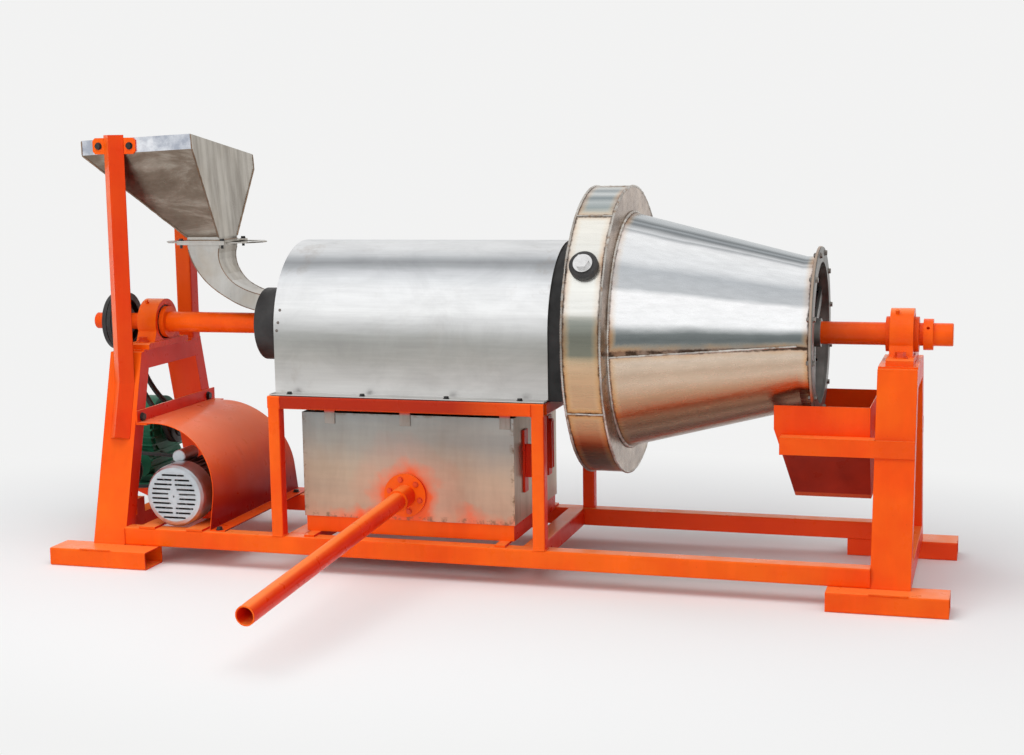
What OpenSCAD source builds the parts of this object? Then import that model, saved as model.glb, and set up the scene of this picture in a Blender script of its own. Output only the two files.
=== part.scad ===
// Puffed rice machine: a shaft-driven roasting drum with a sand ring and a sieve cone, carried in two
// pillow blocks on A-shaped stands over a wood or gas furnace. X runs along the drum axis towards the
// outlet, Y to the back and Z up. The origin is on the floor, under the axis, midway between the feet.

/* [Drum axis and stands] */
// Height of the drum axis above the floor
axis_z = 660; // [650:5:670]
// Place of the left stand along the axis
left_stand_x = -1093; // [-1120:1:-1080]
// Place of the right stand along the axis
right_stand_x = 1092; // [1085:1:1120]
// Width of a stand leg along the axis
leg_w = 100; // [90:5:110]
// Thickness of a stand leg
leg_t = 50; // [40:5:55]
// Half depth of a stand at its top
stand_top_y = 145; // [140:5:150]
// Height of the beam on top of a stand
beam_h = 50; // [40:5:60]
// Wall of the square and box tube
tube_wall = 3; // [2:0.5:4]
// Corner radius of the square and box tube
tube_r = 5; // [4.5:0.5:6]

/* [Feet and rails] */
// Length of a foot
foot_len = 300; // [260:10:340]
// Width of a foot
foot_w = 100; // [90:5:110]
// Height of a foot
foot_h = 50; // [40:5:60]
// Outer face of the left feet
left_foot_y = 370; // [360:5:390]
// Outer face of the right feet
right_foot_y = 350; // [340:5:370]
// Place of the feet along the axis, left and right alike
foot_x = 1087; // [1080:1:1100]
// Size of the square rails
rail = 50; // [40:5:50]
// Outer face of the rails
rail_y = 290; // [280:5:300]

/* [Furnace cage] */
// Size of the cage posts and cage rails
cage_tube = 35; // [30:1:40]
// Left face of the cage
cage_x0 = -585; // [-600:1:-580]
// Right face of the cage
cage_x1 = 201; // [195:1:210]
// Drop from the drum axis to the top of the cage
cage_drop = 168; // [166:1:172]

/* [Furnace] */
// Left side of the furnace box
furnace_x0 = -508; // [-515:1:-500]
// Right side of the furnace box
furnace_x1 = 102; // [95:1:110]
// Front of the furnace box
furnace_y0 = -232; // [-236:1:-225]
// Back of the furnace box
furnace_y1 = 200; // [180:5:225]
// Bottom of the furnace box above its supports
furnace_base_h = 44; // [40:1:50]
// Gap between the furnace top and the cage rails
furnace_top_gap = 15; // [10:1:20]
// Sheet of the furnace box
furnace_wall = 3; // [2:0.5:4]
// Thickness of the support tabs under the furnace
tab_t = 6; // [5:1:8]

/* [Air pipe] */
// Place of the air flange along the axis
air_x = -208; // [-230:1:-190]
// Height of the air flange centre
air_z = 221; // [215:1:235]
// Length of the air pipe
air_len = 945; // [700:5:1000]
// Outer diameter of the air pipe
air_od = 48.3; // [42.4:0.1:50]
// Wall of the air pipe
air_wall = 3.5; // [2.5:0.5:4.5]
// Slope of the air pipe towards the floor
air_dip = 4.9; // [3:0.1:5]
// Sideways turn of the air pipe
air_yaw = 2.2; // [0:0.1:4]
// Diameter of the air flange
air_flange_d = 120; // [110:1:130]

/* [Shaft and bearings] */
// Diameter of the main shaft
shaft_d = 60; // [50:1:62]
// Diameter of the stub that carries the drive pulley
stub_d = 48; // [40:1:49]
// Left end of the shaft
shaft_x0 = -1264; // [-1280:1:-1250]
// Right end of the shaft
shaft_x1 = 1223; // [1200:1:1240]
// Centre of the left bearing
left_bearing_x = -1066; // [-1075:1:-1060]
// Centre of the right bearing
right_bearing_x = 1095; // [1090:1:1100]
// Height of a bearing centre above its base
bearing_h = 70; // [69:0.5:72]
// Outer radius of the bearing housing
bearing_r = 68; // [66:0.5:69]
// Width of the bearing housing along the shaft
bearing_w = 60; // [54:1:64]
// Length of the bearing base
bearing_base_l = 241; // [236:1:250]
// Width of the bearing base
bearing_base_w = 70; // [68:1:76]
// Spacing of the two base bolts
bearing_bolt_span = 184; // [180:1:190]
// Radius of the bearing insert
insert_r = 50; // [48:0.5:52]
// Packer plate under a bearing
packer_t = 5; // [3:1:8]

/* [Drum] */
// Outer radius of the drum shell
drum_r = 160; // [150:1:164]
// Sheet of the drum shell
drum_wall = 4; // [3:0.5:5]
// Left end of the drum shell
drum_x0 = -570; // [-573:1:-560]
// Outer radius of the feed neck
neck_r = 104; // [103:1:108]
// Left end of the feed neck
neck_x0 = -705; // [-710:1:-700]
// Height of the helical flights
flight_h = 32; // [20:1:40]
// Thickness of the helical flights
flight_t = 4; // [3:0.5:6]
// Lead of the helical flights
flight_lead = 500; // [400:10:700]

/* [Sand ring] */
// Left face of the sand ring
ring_x0 = 275; // [272:1:280]
// Width of the sand ring
ring_w = 103; // [95:1:110]
// Outer radius of the sand ring
ring_r = 388; // [375:1:395]
// Sheet of the sand ring
ring_wall = 3; // [2:0.5:4]
// Angle of the sand plug above the front
plug_angle = 30; // [20:1:40]
// Diameter of the plug boss
boss_d = 75; // [65:1:80]
// Height of the plug boss
boss_h = 20; // [16:1:26]
// Diameter of the sand plug shank
plug_d = 34; // [28:1:38]

/* [Cones and outlet] */
// Radius of the cone at the sand ring
cone_r0 = 318; // [310:1:325]
// Radius of the cone at the outlet
cone_r1 = 201; // [197:1:206]
// Length of the cone
cone_len = 468; // [440:1:480]
// Sheet of the cone
cone_wall = 2.5; // [2:0.5:4]
// Length of the cylindrical spigot behind the outlet flange
spigot_len = 31; // [24:1:40]
// Radius of the outlet flange
flange_r = 228; // [224:1:232]
// Thickness of the outlet flange
flange_t = 6; // [5:1:8]
// Radius of the sieve cone at the sand ring
sieve_r0 = 170; // [165:1:176]
// Radius of the sieve cone at the outlet
sieve_r1 = 190; // [184:1:192]
// Sheet of the sieve cone
sieve_wall = 3; // [2:0.5:4]
// Number of slots round the sieve cone
sieve_slots = 24; // [12:1:30]
// Number of bolts round the outlet flange
flange_bolts = 12; // [8:1:16]

/* [Hood and jacket] */
// Outer radius of the hood
hood_r = 243; // [240:1:247]
// Sheet of the hood
hood_wall = 3; // [2:0.5:3]
// Left end of the hood
hood_x0 = -580; // [-585:1:-575]
// Width of the flanges along the bottom of the hood
hood_flange = 42; // [38:1:44]
// Sheet of the inner jacket
jacket_wall = 2; // [1.5:0.5:3]
// Right end of the inner jacket
jacket_x1 = 262; // [250:1:266]

/* [Hopper and feed chute] */
// Left side of the hopper rim
rim_x0 = -1193; // [-1200:1:-1185]
// Right side of the hopper rim
rim_x1 = -849; // [-855:1:-840]
// Front of the hopper rim
rim_y0 = -165; // [-166:1:-160]
// Back of the hopper rim
rim_y1 = 234; // [225:1:240]
// Height of the hopper rim at the front right corner
rim_z = 1208; // [1200:1:1215]
// Height of the rim band
rim_h = 42; // [35:1:50]
// Slope of the hopper rim towards the back
rim_tilt_y = 0.153; // [0.14:0.001:0.16]
// Slope of the hopper rim towards the left
rim_tilt_x = 0.043; // [0.03:0.001:0.05]
// Sheet of the hopper
hopper_wall = 2; // [1.5:0.5:3]
// Centre of the hopper throat along the axis
throat_x = -876; // [-880:1:-872]
// Length of the throat along the axis
throat_l = 96; // [80:1:100]
// Depth of the throat
throat_w = 116; // [100:1:120]
// Height of the feed gate
gate_z = 895; // [893:1:900]
// Thickness of the feed gate
gate_t = 3.4; // [3:0.1:4]
// Travel of the feed gate
gate_travel = 105; // [90:1:110]
// Length of the feed gate
gate_l = 308; // [300:1:315]

/* [Drive] */
// Place of the drive pulley along the axis
pulley_x = -1182; // [-1190:1:-1178]
// Outer radius of the drive pulley
pulley_r = 84; // [80:1:88]
// Width of the drive pulley rim
pulley_w = 43; // [38:1:44]
// Outer radius of the gearbox output pulley
small_pulley_r = 50; // [46:1:54]
// Output shaft of the gearbox, from the drum axis to the back
gear_y = 300; // [296:1:310]
// Height of the output shaft of the gearbox
gear_z = 290; // [285:1:300]
// Top width of the drive belt
belt_w = 17; // [16:0.5:18]
// Thickness of the drive belt
belt_t = 11; // [10:0.5:12]
// Place of the motor along the drum axis
motor_x = -897; // [-900:1:-890]
// Centre height of the motor above its feet
motor_h = 85; // [85:1:92]
// Radius of the fan cover
fan_cover_r = 90; // [86:1:92]
// Front face of the fan cover
motor_y0 = -262; // [-265:1:-255]
// Rows of slots in the fan cover
slot_rows = 10; // [8:1:12]

/* [Guard] */
// Top of the sheet guard
guard_top = 388; // [384:1:392]
// Right side of the sheet guard
guard_x1 = -780; // [-785:1:-775]
// Radius of the bend of the sheet guard
guard_r = 205; // [190:1:210]
// Reach of the guard behind the plane of the legs
guard_back = 60; // [50:1:70]
// Sheet of the guard
guard_t = 2; // [1.5:0.5:3]

/* [Trough] */
// Left side of the discharge trough
trough_x0 = 783; // [775:1:790]
// Top of the discharge trough
trough_top = 488; // [480:1:490]
// Bottom of the discharge trough
trough_bottom = 241; // [220:1:260]
// Half depth of the discharge trough
trough_y = 163; // [162:1:170]
// Size of the trough angles
trough_angle_w = 45; // [40:1:50]

/* [Fits and clearances] */
// Radial clearance of a bearing or gearbox seat
running_fit = 0.05; // [0.03:0.01:0.08]
// Clearance between a belt and its pulley
belt_gap = 0.4; // [0.3:0.1:0.6]
// Clearance between a part and the surface that carries it
seat_gap = 0.1; // [0.05:0.05:0.2]
// Clearance of a bolt in its hole, on the radius
hole_gap = 0.5; // [0.4:0.1:1]
// Clearance over and under the feed gate
gate_gap = 0.3; // [0.2:0.1:0.4]

/* [Hidden] */
$fn = 64;
cut = 1;

stand_top_z = axis_z - bearing_h - packer_t;
lean = (rail_y - stand_top_y) / (stand_top_z - foot_h);
lean_angle = atan(lean);
leg_ty = leg_t / cos(lean_angle);
rail_top = foot_h + rail;
rail_x0 = left_stand_x + leg_w / 2;
rail_x1 = right_stand_x - leg_w / 2;
cage_top = axis_z - cage_drop;
lower_cross_x = [-530, 150];

furnace_z0 = rail_top + tab_t + furnace_base_h;
furnace_z1 = cage_top - cage_tube - furnace_top_gap;
base_bar = 45;
base_tab_x = [furnace_x0 + 15, furnace_x1 - 45];
top_tab_x = [-425, -205, 78];
tab_w = 30;
air_bolt_r = 45;
air_bolts = 6;
air_flange_t = 8;

cone_x0 = ring_x0 + ring_w;
cone_x1 = cone_x0 + cone_len;
flange_x = cone_x1 + spigot_len;
flange_bolt_r = (flange_r + cone_r1) / 2;
spoke_w = 30;
spoke_t = 8;
hub_w = 40;
hub_r = shaft_d / 2 + 8;

jacket_z = cage_top;
hood_z = jacket_z + jacket_wall;
hood_x1 = cage_x1;
jacket_r = hood_r - hood_wall - 1;
hood_bolt_x = [-525, -312, -72, 132];
hood_bolt_y = cage_tube / 2;

gate_rail_h = gate_t + 2 * gate_gap;
hopper_flange_z = gate_z + gate_rail_h;
hopper_flange_t = 4;
chute_flange_t = 4;
gate_rail_w = 18;
gate_w = throat_w + 4;
flange_l = 150;
flange_d = gate_w + 2 * gate_rail_w + 1;
gate_x1 = throat_x + 167;
gate_x0 = gate_x1 - gate_l;
chute_mouth_h = 44;
chute_mouth_w = 76;
chute_rx = 220;
chute_rz = 166;
right_lean = (throat_x + throat_l / 2 - rim_x1) / (rim_z - hopper_flange_z);

left_back = left_foot_y - rail_y;
post_size = 45;
post_t = 4;
post_x = -1088;
post_y = -169;
post_foot_z = 342;
post_reach = post_size / sqrt(2);
kink_z = foot_h + (rail_y + post_y) / lean;
rear_post = 50;
rear_post_x = rail_x0 - rear_post / 2;
rear_post_y = stand_top_y + left_back - rear_post / 2;
rear_post_top = 1026;
strap_z = rim_z - 31;
strap_bolt = 49;

motor_z = rail_top + tab_t + motor_h;
motor_r = 80;
cover_l = 74;
groove_angle = 18;
motor_y1 = 60;
motor_foot_x = 70;
motor_foot_y = [-110, 15];
motor_shaft_r = 12;
input_y = 105;
worm_x = -1262;
worm_z = motor_z - 6;
worm_r = 12;
motor_pulley_r = 40;
input_pulley_r = 60;
small_belt_w = 13;
small_belt_t = 9;
gear_shaft_r = 19;
gear_x0 = -1330;
gear_x1 = -1208;
gear_base_z = foot_h + 60;
gear_body_r = 104;

bar_h = 40;
bar_t = 5;
bar_z = guard_top - guard_t - bar_t;
bar_bolt_y = [leg_ty / 2 - face_y(bar_z + bar_h / 2), face_y(bar_z + bar_h / 2) + left_back - leg_ty / 2];

bolt_m16 = 8;
bolt_m12 = 6;
bolt_m10 = 5;
bolt_m8 = 4;

// Outline of a leg's outer face: its distance from the axis plane at a height
function face_y(z) = rail_y - (z - foot_h) * lean;

// A rectangle with round corners, centred
module round_rect(w, h, r) {
    square([w, h - 2 * r], center = true);
    square([w - 2 * r, h], center = true);
    for (x = [-1, 1], y = [-1, 1]) {
        translate([x * (w / 2 - r), y * (h / 2 - r)]) circle(r, $fn = 32);
    }
}

// Open tube of box section along Z, centred on the axis, standing on z = 0
module box_tube(w, h, len) {
    linear_extrude(len) difference() {
        round_rect(w, h, tube_r);
        round_rect(w - 2 * tube_wall, h - 2 * tube_wall, tube_r - tube_wall);
    }
}

// Open tube along X from x0 to x1, its lower front corner at y, z
module tube_x(x0, x1, y, z, w, h) {
    translate([x0, y + w / 2, z + h / 2]) rotate([0, 90, 0]) rotate(90) box_tube(w, h, x1 - x0);
}

// Open tube along Y from y0 to y1, its lower left corner at x, z
module tube_y(x, y0, y1, z, w, h) {
    translate([x + w / 2, y0, z + h / 2]) rotate([-90, 0, 0]) box_tube(w, h, y1 - y0);
}

// A flat outline in Y and Z carried along X from x0 to x1
module along_x(x0, x1) {
    translate([x0, 0, 0]) rotate([90, 0, 90]) linear_extrude(x1 - x0) children();
}

// A flat outline in X and Z carried along Y from y0 to y1
module along_y(y0, y1) {
    translate([0, y1, 0]) rotate([90, 0, 0]) linear_extrude(y1 - y0) children();
}

// A profile of radius and place along X, turned about the drum axis
module turned() {
    translate([0, 0, axis_z]) rotate([0, 90, 0]) rotate_extrude($fn = 128) children();
}

// A disc or sleeve on the drum axis
module sleeve(x0, x1, r_out, r_in) {
    translate([x0, 0, axis_z]) rotate([0, 90, 0]) difference() {
        cylinder(r = r_out, h = x1 - x0, $fn = 128);
        translate([0, 0, -cut]) cylinder(r = r_in, h = x1 - x0 + 2 * cut, $fn = 128);
    }
}

// Hexagon bolt with a washer: head above z = 0, shank below it
module hex_bolt(r, len) {
    cylinder(r = 2.1 * r, h = 0.3 * r);
    translate([0, 0, 0.3 * r]) cylinder(r = 1.75 * r, h = 1.25 * r, $fn = 6);
    translate([0, 0, -len]) cylinder(r = r, h = len + cut / 2);
}

// Clearance hole for a bolt, through what lies under its head
module bolt_hole(r, len) {
    translate([0, 0, -len - cut]) cylinder(r = r + hole_gap, h = len + 2 * cut);
}

// Shell between two rows of four-cornered sections, listed upwards and anticlockwise from above
module shell_loft(outer, inner) {
    n = len(outer);
    points = concat([for (s = outer) for (p = s) p], [for (s = inner) for (p = s) p]);
    base = 4 * n;
    side = [for (i = [0:n - 2]) for (j = [0:3]) [i * 4 + j, (i + 1) * 4 + j,
        (i + 1) * 4 + (j + 1) % 4, i * 4 + (j + 1) % 4]];
    faces = concat(
        [for (q = side) [q[0], q[1], q[2]]],
        [for (q = side) [q[0], q[2], q[3]]],
        [for (q = side) [base + q[2], base + q[1], base + q[0]]],
        [for (q = side) [base + q[3], base + q[2], base + q[0]]],
        [for (j = [0:3]) [j, (j + 1) % 4, base + (j + 1) % 4]],
        [for (j = [0:3]) [j, base + (j + 1) % 4, base + j]],
        [for (j = [0:3]) [base - 4 + j, 2 * base - 4 + (j + 1) % 4, base - 4 + (j + 1) % 4]],
        [for (j = [0:3]) [base - 4 + j, 2 * base - 4 + j, 2 * base - 4 + (j + 1) % 4]]
    );
    polyhedron(points, faces, convexity = 6);
}

// Level rectangle of four corners, anticlockwise from above
function level_rect(x0, x1, y0, y1, z) = [[x0, y0, z], [x1, y0, z], [x1, y1, z], [x0, y1, z]];

// Feet: box tubes along X, open at both ends
module foot(side_x, y) {
    color("orangered") tube_x(side_x - foot_len / 2, side_x + foot_len / 2, y, 0, foot_w, foot_h);
}

module front_left_foot() { foot(-foot_x, -left_foot_y); }

module back_left_foot() { foot(-foot_x, left_foot_y - foot_w); }

module front_right_foot() { foot(foot_x, -right_foot_y); }

module back_right_foot() { foot(foot_x, right_foot_y - foot_w); }

// Rails and lower cross members of the base frame
module long_rail(x0, y) {
    color("orangered") difference() {
        tube_x(x0, rail_x1, y, foot_h, rail, rail);
        for (p = guard_foot_places()) translate(p) bolt_hole(bolt_m10, 20);
    }
}

module front_rail() { long_rail(rail_x0, -rail_y); }

module back_rail() { long_rail(rail_x0 - leg_w + rail, rail_y - rail); }

module lower_cross_members() {
    color("orangered") for (x = lower_cross_x) {
        tube_y(x - rail / 2, -rail_y + rail, rail_y - rail, foot_h, rail, rail);
    }
}

// Outline of a stand in Y and Z, pulled in by d, its back leg set back
module stand_outline(d, z0, back) {
    in = d / cos(lean_angle);
    top = stand_top_z - d;
    polygon([[in - face_y(z0), z0], [in - face_y(top), top], [face_y(top) + back - in, top], [face_y(z0) + back - in, z0]]);
}

// Window between the legs under the beam, let out by d
module stand_window(d, z0, back) {
    in = leg_ty - d / cos(lean_angle);
    top = stand_top_z - beam_h + d;
    polygon([[in - face_y(z0), z0], [in - face_y(top), top], [face_y(top) + back - in, top], [face_y(z0) + back - in, z0]]);
}

// A-shaped stand of box tube with a tie bar and the packer plate under the bearing
module stand(x, tie_x, bearing_x, back) {
    color("orangered") difference() {
        union() {
            along_x(x - leg_w / 2, x + leg_w / 2) difference() {
                stand_outline(0, foot_h, back);
                stand_window(0, foot_h - cut, back);
            }
            tie_bar(tie_x, back);
            translate([x - leg_w / 2, -bearing_base_l / 2 - 8, stand_top_z - cut / 2]) {
                cube([leg_w, bearing_base_l + 16, packer_t + cut / 2]);
            }
        }
        along_x(x - leg_w / 2 + tube_wall, x + leg_w / 2 - tube_wall) difference() {
            stand_outline(tube_wall, foot_h - cut, back);
            stand_window(tube_wall, foot_h - 2 * cut, back);
        }
        for (y = [-1, 1]) {
            translate([bearing_x, y * bearing_bolt_span / 2, stand_top_z + packer_t]) bolt_hole(bolt_m16, 30);
        }
        for (y = bar_bolt_y) {
            if (x < 0) translate([x + leg_w / 2, y, bar_z + bar_h / 2]) rotate([0, 90, 0]) bolt_hole(bolt_m12, 25);
        }
    }
}

// Tie bar along Y between the feet of a stand
module tie_bar(x, back) {
    reach = face_y(rail_top) - leg_ty + 2 * tube_wall;
    difference() {
        translate([x, -reach, foot_h]) cube([rail, 2 * reach + back, rail]);
        translate([x + tube_wall, -reach - cut, foot_h + tube_wall]) {
            cube([rail - 2 * tube_wall, 2 * reach + back + 2 * cut, rail - 2 * tube_wall]);
        }
    }
}

module left_stand() {
    stop = 46;
    stand(left_stand_x, left_stand_x - leg_w / 2, left_bearing_x, left_back);
    color("orangered") translate([rail_x0 - leg_w, -2.7 * stop, rail_top - cut / 2]) cube([rail, stop, stop]);
}

module right_stand() { stand(right_stand_x, right_stand_x + leg_w / 2 - rail, right_bearing_x, 0); }

// One side of the furnace cage: two posts under a rail, with the holes for the hood bolts
module cage_frame(y, sy) {
    color("orangered") difference() {
        union() {
            for (x = [cage_x0, cage_x1 - cage_tube]) {
                translate([x + cage_tube / 2, y + cage_tube / 2, rail_top]) {
                    box_tube(cage_tube, cage_tube, cage_top - rail_top - cage_tube + tube_wall);
                }
            }
            tube_x(cage_x0, cage_x1, y, cage_top - cage_tube, cage_tube, cage_tube);
        }
        for (x = hood_bolt_x) translate([x, sy * (rail_y - hood_bolt_y), cage_top]) bolt_hole(bolt_m8, 20);
    }
}

module front_cage_frame() { cage_frame(-rail_y, -1); }

module back_cage_frame() { cage_frame(rail_y - cage_tube, 1); }

module upper_cross_members() {
    color("orangered") for (x = [cage_x0, cage_x1 - cage_tube]) {
        tube_y(x, -rail_y + cage_tube, rail_y - cage_tube, cage_top - cage_tube, cage_tube, cage_tube);
    }
}

// Angle bar turned by 45 degrees with its ridge to the front, its leg ends on y = 0
module ridge_angle() {
    reach = post_size / sqrt(2);
    inner = reach - post_t * sqrt(2);
    polygon([[-reach, 0], [0, -reach], [reach, 0], [inner, 0], [0, -inner], [-inner, 0]]);
}

// Front hopper post: upright angle bar, bent where it meets the leg to run down its face
module front_hopper_post() {
    slope_len = (kink_z - post_foot_z) / cos(lean_angle);
    color("orangered") {
        translate([post_x, post_y, kink_z]) linear_extrude(rim_z - kink_z) ridge_angle();
        translate([post_x, post_y - seat_gap, kink_z]) rotate([180 - lean_angle, 0, 0]) mirror([0, 1, 0]) {
            translate([0, 0, -post_reach * lean]) linear_extrude(slope_len + post_reach * lean) ridge_angle();
        }
    }
}

// Rear hopper post: square tube on a small base plate
module rear_hopper_post() {
    plate_t = 6;
    color("orangered") {
        translate([rail_x0 - 70, rear_post_y - 35, stand_top_z]) cube([70, 60, plate_t]);
        translate([rear_post_x, rear_post_y, stand_top_z + plate_t - cut / 2]) {
            box_tube(rear_post, rear_post, rear_post_top - stand_top_z - plate_t);
        }
    }
}

// Strap between the front post and the hopper band
module hopper_bracket() {
    half = 68;
    high = 46;
    color("orangered") difference() {
        along_y(post_y, rim_y0 - seat_gap) polygon([
            [post_x - half, strap_z - high / 2 + 8], [post_x - half + 8, strap_z - high / 2],
            [post_x + half - 8, strap_z - high / 2], [post_x + half, strap_z - high / 2 + 8],
            [post_x + half, strap_z + high / 2 - 8], [post_x + half - 8, strap_z + high / 2],
            [post_x - half + 8, strap_z + high / 2], [post_x - half, strap_z + high / 2 - 8]
        ]);
        for (s = [-1, 1]) {
            translate([post_x + s * strap_bolt, post_y, strap_z]) rotate([90, 0, 0]) bolt_hole(bolt_m10, 12);
        }
    }
}

// Height of the hopper rim over a place
function rim_height(x, y) = rim_z + (x - rim_x1) * rim_tilt_x - (y - rim_y0) * rim_tilt_y;

// Corners of the hopper rim, let down by drop and pulled in by d
function rim_corners(drop, d) = let (right = rim_x1 - d + drop * right_lean) [
    for (c = [[rim_x0 + d, rim_y0 + d], [right, rim_y0 + d], [right, rim_y1 - d], [rim_x0 + d, rim_y1 - d]])
        [c[0], c[1], rim_height(c[0], c[1]) - drop]
];

// Corners of the hopper throat, let out by d
function throat_corners(z, d) = level_rect(throat_x - throat_l / 2 - d, throat_x + throat_l / 2 + d,
    -throat_w / 2 - d, throat_w / 2 + d, z);

// Hopper: folded sheet with a rim band and a flange under its throat
module hopper() {
    top = hopper_flange_z + hopper_flange_t;
    color("lightgray") difference() {
        union() {
            shell_loft(
                [throat_corners(top - cut, hopper_wall), throat_corners(top + 10, hopper_wall),
                    rim_corners(rim_h, 0), rim_corners(0, 0)],
                [throat_corners(top - cut, 0), throat_corners(top + 10, 0),
                    rim_corners(rim_h, hopper_wall), rim_corners(0, hopper_wall)]
            );
            flange_plate(hopper_flange_z, hopper_flange_t);
        }
        for (s = [-1, 1]) {
            translate([post_x + s * strap_bolt, post_y, strap_z]) rotate([90, 0, 0]) bolt_hole(bolt_m10, 12);
        }
    }
}

// Corner places of the bolts that hold the gate flanges together
function gate_bolt_places() = [for (sx = [-1, 1]) for (sy = [-1, 1])
    [throat_x + sx * (flange_l / 2 - 10), sy * (flange_d / 2 - 9), hopper_flange_z + hopper_flange_t]];

// Flange plate with the throat opening and four bolt holes
module flange_plate(z, t) {
    difference() {
        translate([throat_x - flange_l / 2, -flange_d / 2, z]) cube([flange_l, flange_d, t]);
        translate([throat_x - throat_l / 2, -throat_w / 2, z - cut]) cube([throat_l, throat_w, t + 2 * cut]);
        for (p = gate_bolt_places()) translate(p) bolt_hole(bolt_m8, 30);
    }
}

// Feed gate: flat slide with a window that comes under the throat when it is pulled out
module feed_gate() {
    z = gate_z + gate_gap;
    tip = 14;
    taper = 30;
    window_x = throat_x + gate_travel - throat_l / 2;
    color("silver") difference() {
        translate([0, 0, z]) linear_extrude(gate_t) polygon([
            [gate_x0, -tip], [gate_x0 + taper, -gate_w / 2], [gate_x1 - taper, -gate_w / 2], [gate_x1, -tip],
            [gate_x1, tip], [gate_x1 - taper, gate_w / 2], [gate_x0 + taper, gate_w / 2], [gate_x0, tip]
        ]);
        translate([window_x, -throat_w / 2 + 10, z - cut]) cube([throat_l - 20, throat_w - 20, gate_t + 2 * cut]);
    }
}

// Section of the feed chute: t = 0 at the mouth in the neck, 1 at the flange; let out by d
function chute_section(t, d) = let (
    a = 90 * t,
    mouth_z = axis_z + shaft_d / 2 + 6 + chute_mouth_h / 2,
    px = throat_x + chute_rx * (1 - sin(a)),
    pz = mouth_z + chute_rz * (1 - cos(a)),
    n = [-chute_rz * sin(a), -chute_rx * cos(a)],
    u = n / norm(n),
    hx = (chute_mouth_h + (throat_l - chute_mouth_h) * pow(max(0, 1.8 * t - 0.8), 1.3)) / 2 + d,
    hy = (chute_mouth_w + (throat_w - chute_mouth_w) * t) / 2 + d
) [
    [px + hx * u[0], -hy, pz + hx * u[1]], [px - hx * u[0], -hy, pz - hx * u[1]],
    [px - hx * u[0], hy, pz - hx * u[1]], [px + hx * u[0], hy, pz + hx * u[1]]
];

// The same section moved up by dz
function moved(s, dz) = [for (p = s) [p[0], p[1], p[2] + dz]];

// Feed chute: bent duct from the gate into the neck, with the guide rails of the gate
module feed_chute() {
    steps = 10;
    flange_z = gate_z - chute_flange_t;
    last = chute_section(1, 0);
    lift = flange_z + cut - last[0][2];
    outer = concat([for (i = [0:steps]) chute_section(i / steps, hopper_wall)],
        [moved(chute_section(1, hopper_wall), lift)]);
    inner = concat([for (i = [0:steps]) chute_section(i / steps, 0)], [moved(chute_section(1, 0), lift)]);
    color("silver") {
        shell_loft(outer, inner);
        flange_plate(flange_z, chute_flange_t);
        difference() {
            for (s = [-1, 1]) {
                translate([throat_x - flange_l / 2, s > 0 ? gate_w / 2 + 0.5 : -gate_w / 2 - 0.5 - gate_rail_w, gate_z - cut / 2]) {
                    cube([flange_l, gate_rail_w, gate_rail_h + cut / 2]);
                }
            }
            for (p = gate_bolt_places()) translate(p) bolt_hole(bolt_m8, 30);
        }
    }
}

// Bearing housing: base with raised bolt pads, tapered neck and round head, bored for the insert
module bearing_housing(x) {
    base_z = stand_top_z + packer_t;
    base_t = 18;
    color("orangered") difference() {
        union() {
            along_x(x - bearing_base_w / 2, x + bearing_base_w / 2) translate([0, base_z]) polygon([
                [-bearing_base_l / 2, 0], [-bearing_base_l / 2, base_t - 4], [-bearing_base_l / 2 + 8, base_t],
                [bearing_base_l / 2 - 8, base_t], [bearing_base_l / 2, base_t - 4], [bearing_base_l / 2, 0]
            ]);
            along_x(x - bearing_w / 2, x + bearing_w / 2) union() {
                translate([0, axis_z]) circle(bearing_r, $fn = 96);
                translate([0, base_z + base_t - cut]) polygon([
                    [-78, 0], [-bearing_r * 0.94, 30], [-bearing_r * 0.94, bearing_h - base_t - 22],
                    [bearing_r * 0.94, bearing_h - base_t - 22], [bearing_r * 0.94, 30], [78, 0]
                ]);
            }
            for (s = [-1, 1]) {
                translate([x, s * bearing_bolt_span / 2, base_z + base_t - cut]) cylinder(r = 19, h = 3 + cut);
            }
            translate([x - 12, -34, axis_z + bearing_r - 13]) rotate([28, 0, 0]) cylinder(r = 5, h = 13);
        }
        translate([x - bearing_w, 0, axis_z]) rotate([0, 90, 0]) cylinder(r = insert_r, h = 2 * bearing_w, $fn = 128);
        for (s = [-1, 1]) {
            translate([x, s * bearing_bolt_span / 2, base_z + base_t + 3]) bolt_hole(bolt_m16, 30);
            translate([x + s * (bearing_w / 2), 0, axis_z]) rotate([0, s * 90, 0]) translate([0, 0, -4]) {
                cylinder(r1 = insert_r, r2 = insert_r + 6, h = 4 + cut / 4, $fn = 96);
            }
        }
        translate([x, 0, base_z - cut]) for (s = [-1, 1]) {
            translate([-bearing_base_w / 2 + 12, s * 34 - 16, 0]) cube([bearing_base_w - 24, 32, 12]);
        }
    }
}

module left_bearing_housing() { bearing_housing(left_bearing_x); }

module right_bearing_housing() { bearing_housing(right_bearing_x); }

// Inner rings of the two bearings with their locking collars, turning with the shaft
module bearing_inner_rings() {
    bore = shaft_d / 2 + running_fit;
    color("dimgray") for (x = [left_bearing_x, right_bearing_x]) {
        turned() polygon([
            [bore, x - 42], [46, x - 42], [46, x - 28], [insert_r - running_fit, x - 25],
            [insert_r - running_fit, x + 25], [46, x + 28], [46, x + 42], [bore, x + 42]
        ]);
    }
}

// Main shaft with a stepped stub for the pulley and chamfered ends
module main_shaft() {
    r = shaft_d / 2;
    step_x = left_bearing_x - 46;
    color("orangered") turned() polygon([
        [0, shaft_x0], [stub_d / 2 - 2, shaft_x0], [stub_d / 2, shaft_x0 + 2], [stub_d / 2, step_x],
        [r - 1, step_x], [r, step_x + 1], [r, shaft_x1 - 2], [r - 2, shaft_x1], [0, shaft_x1]
    ]);
}

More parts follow.
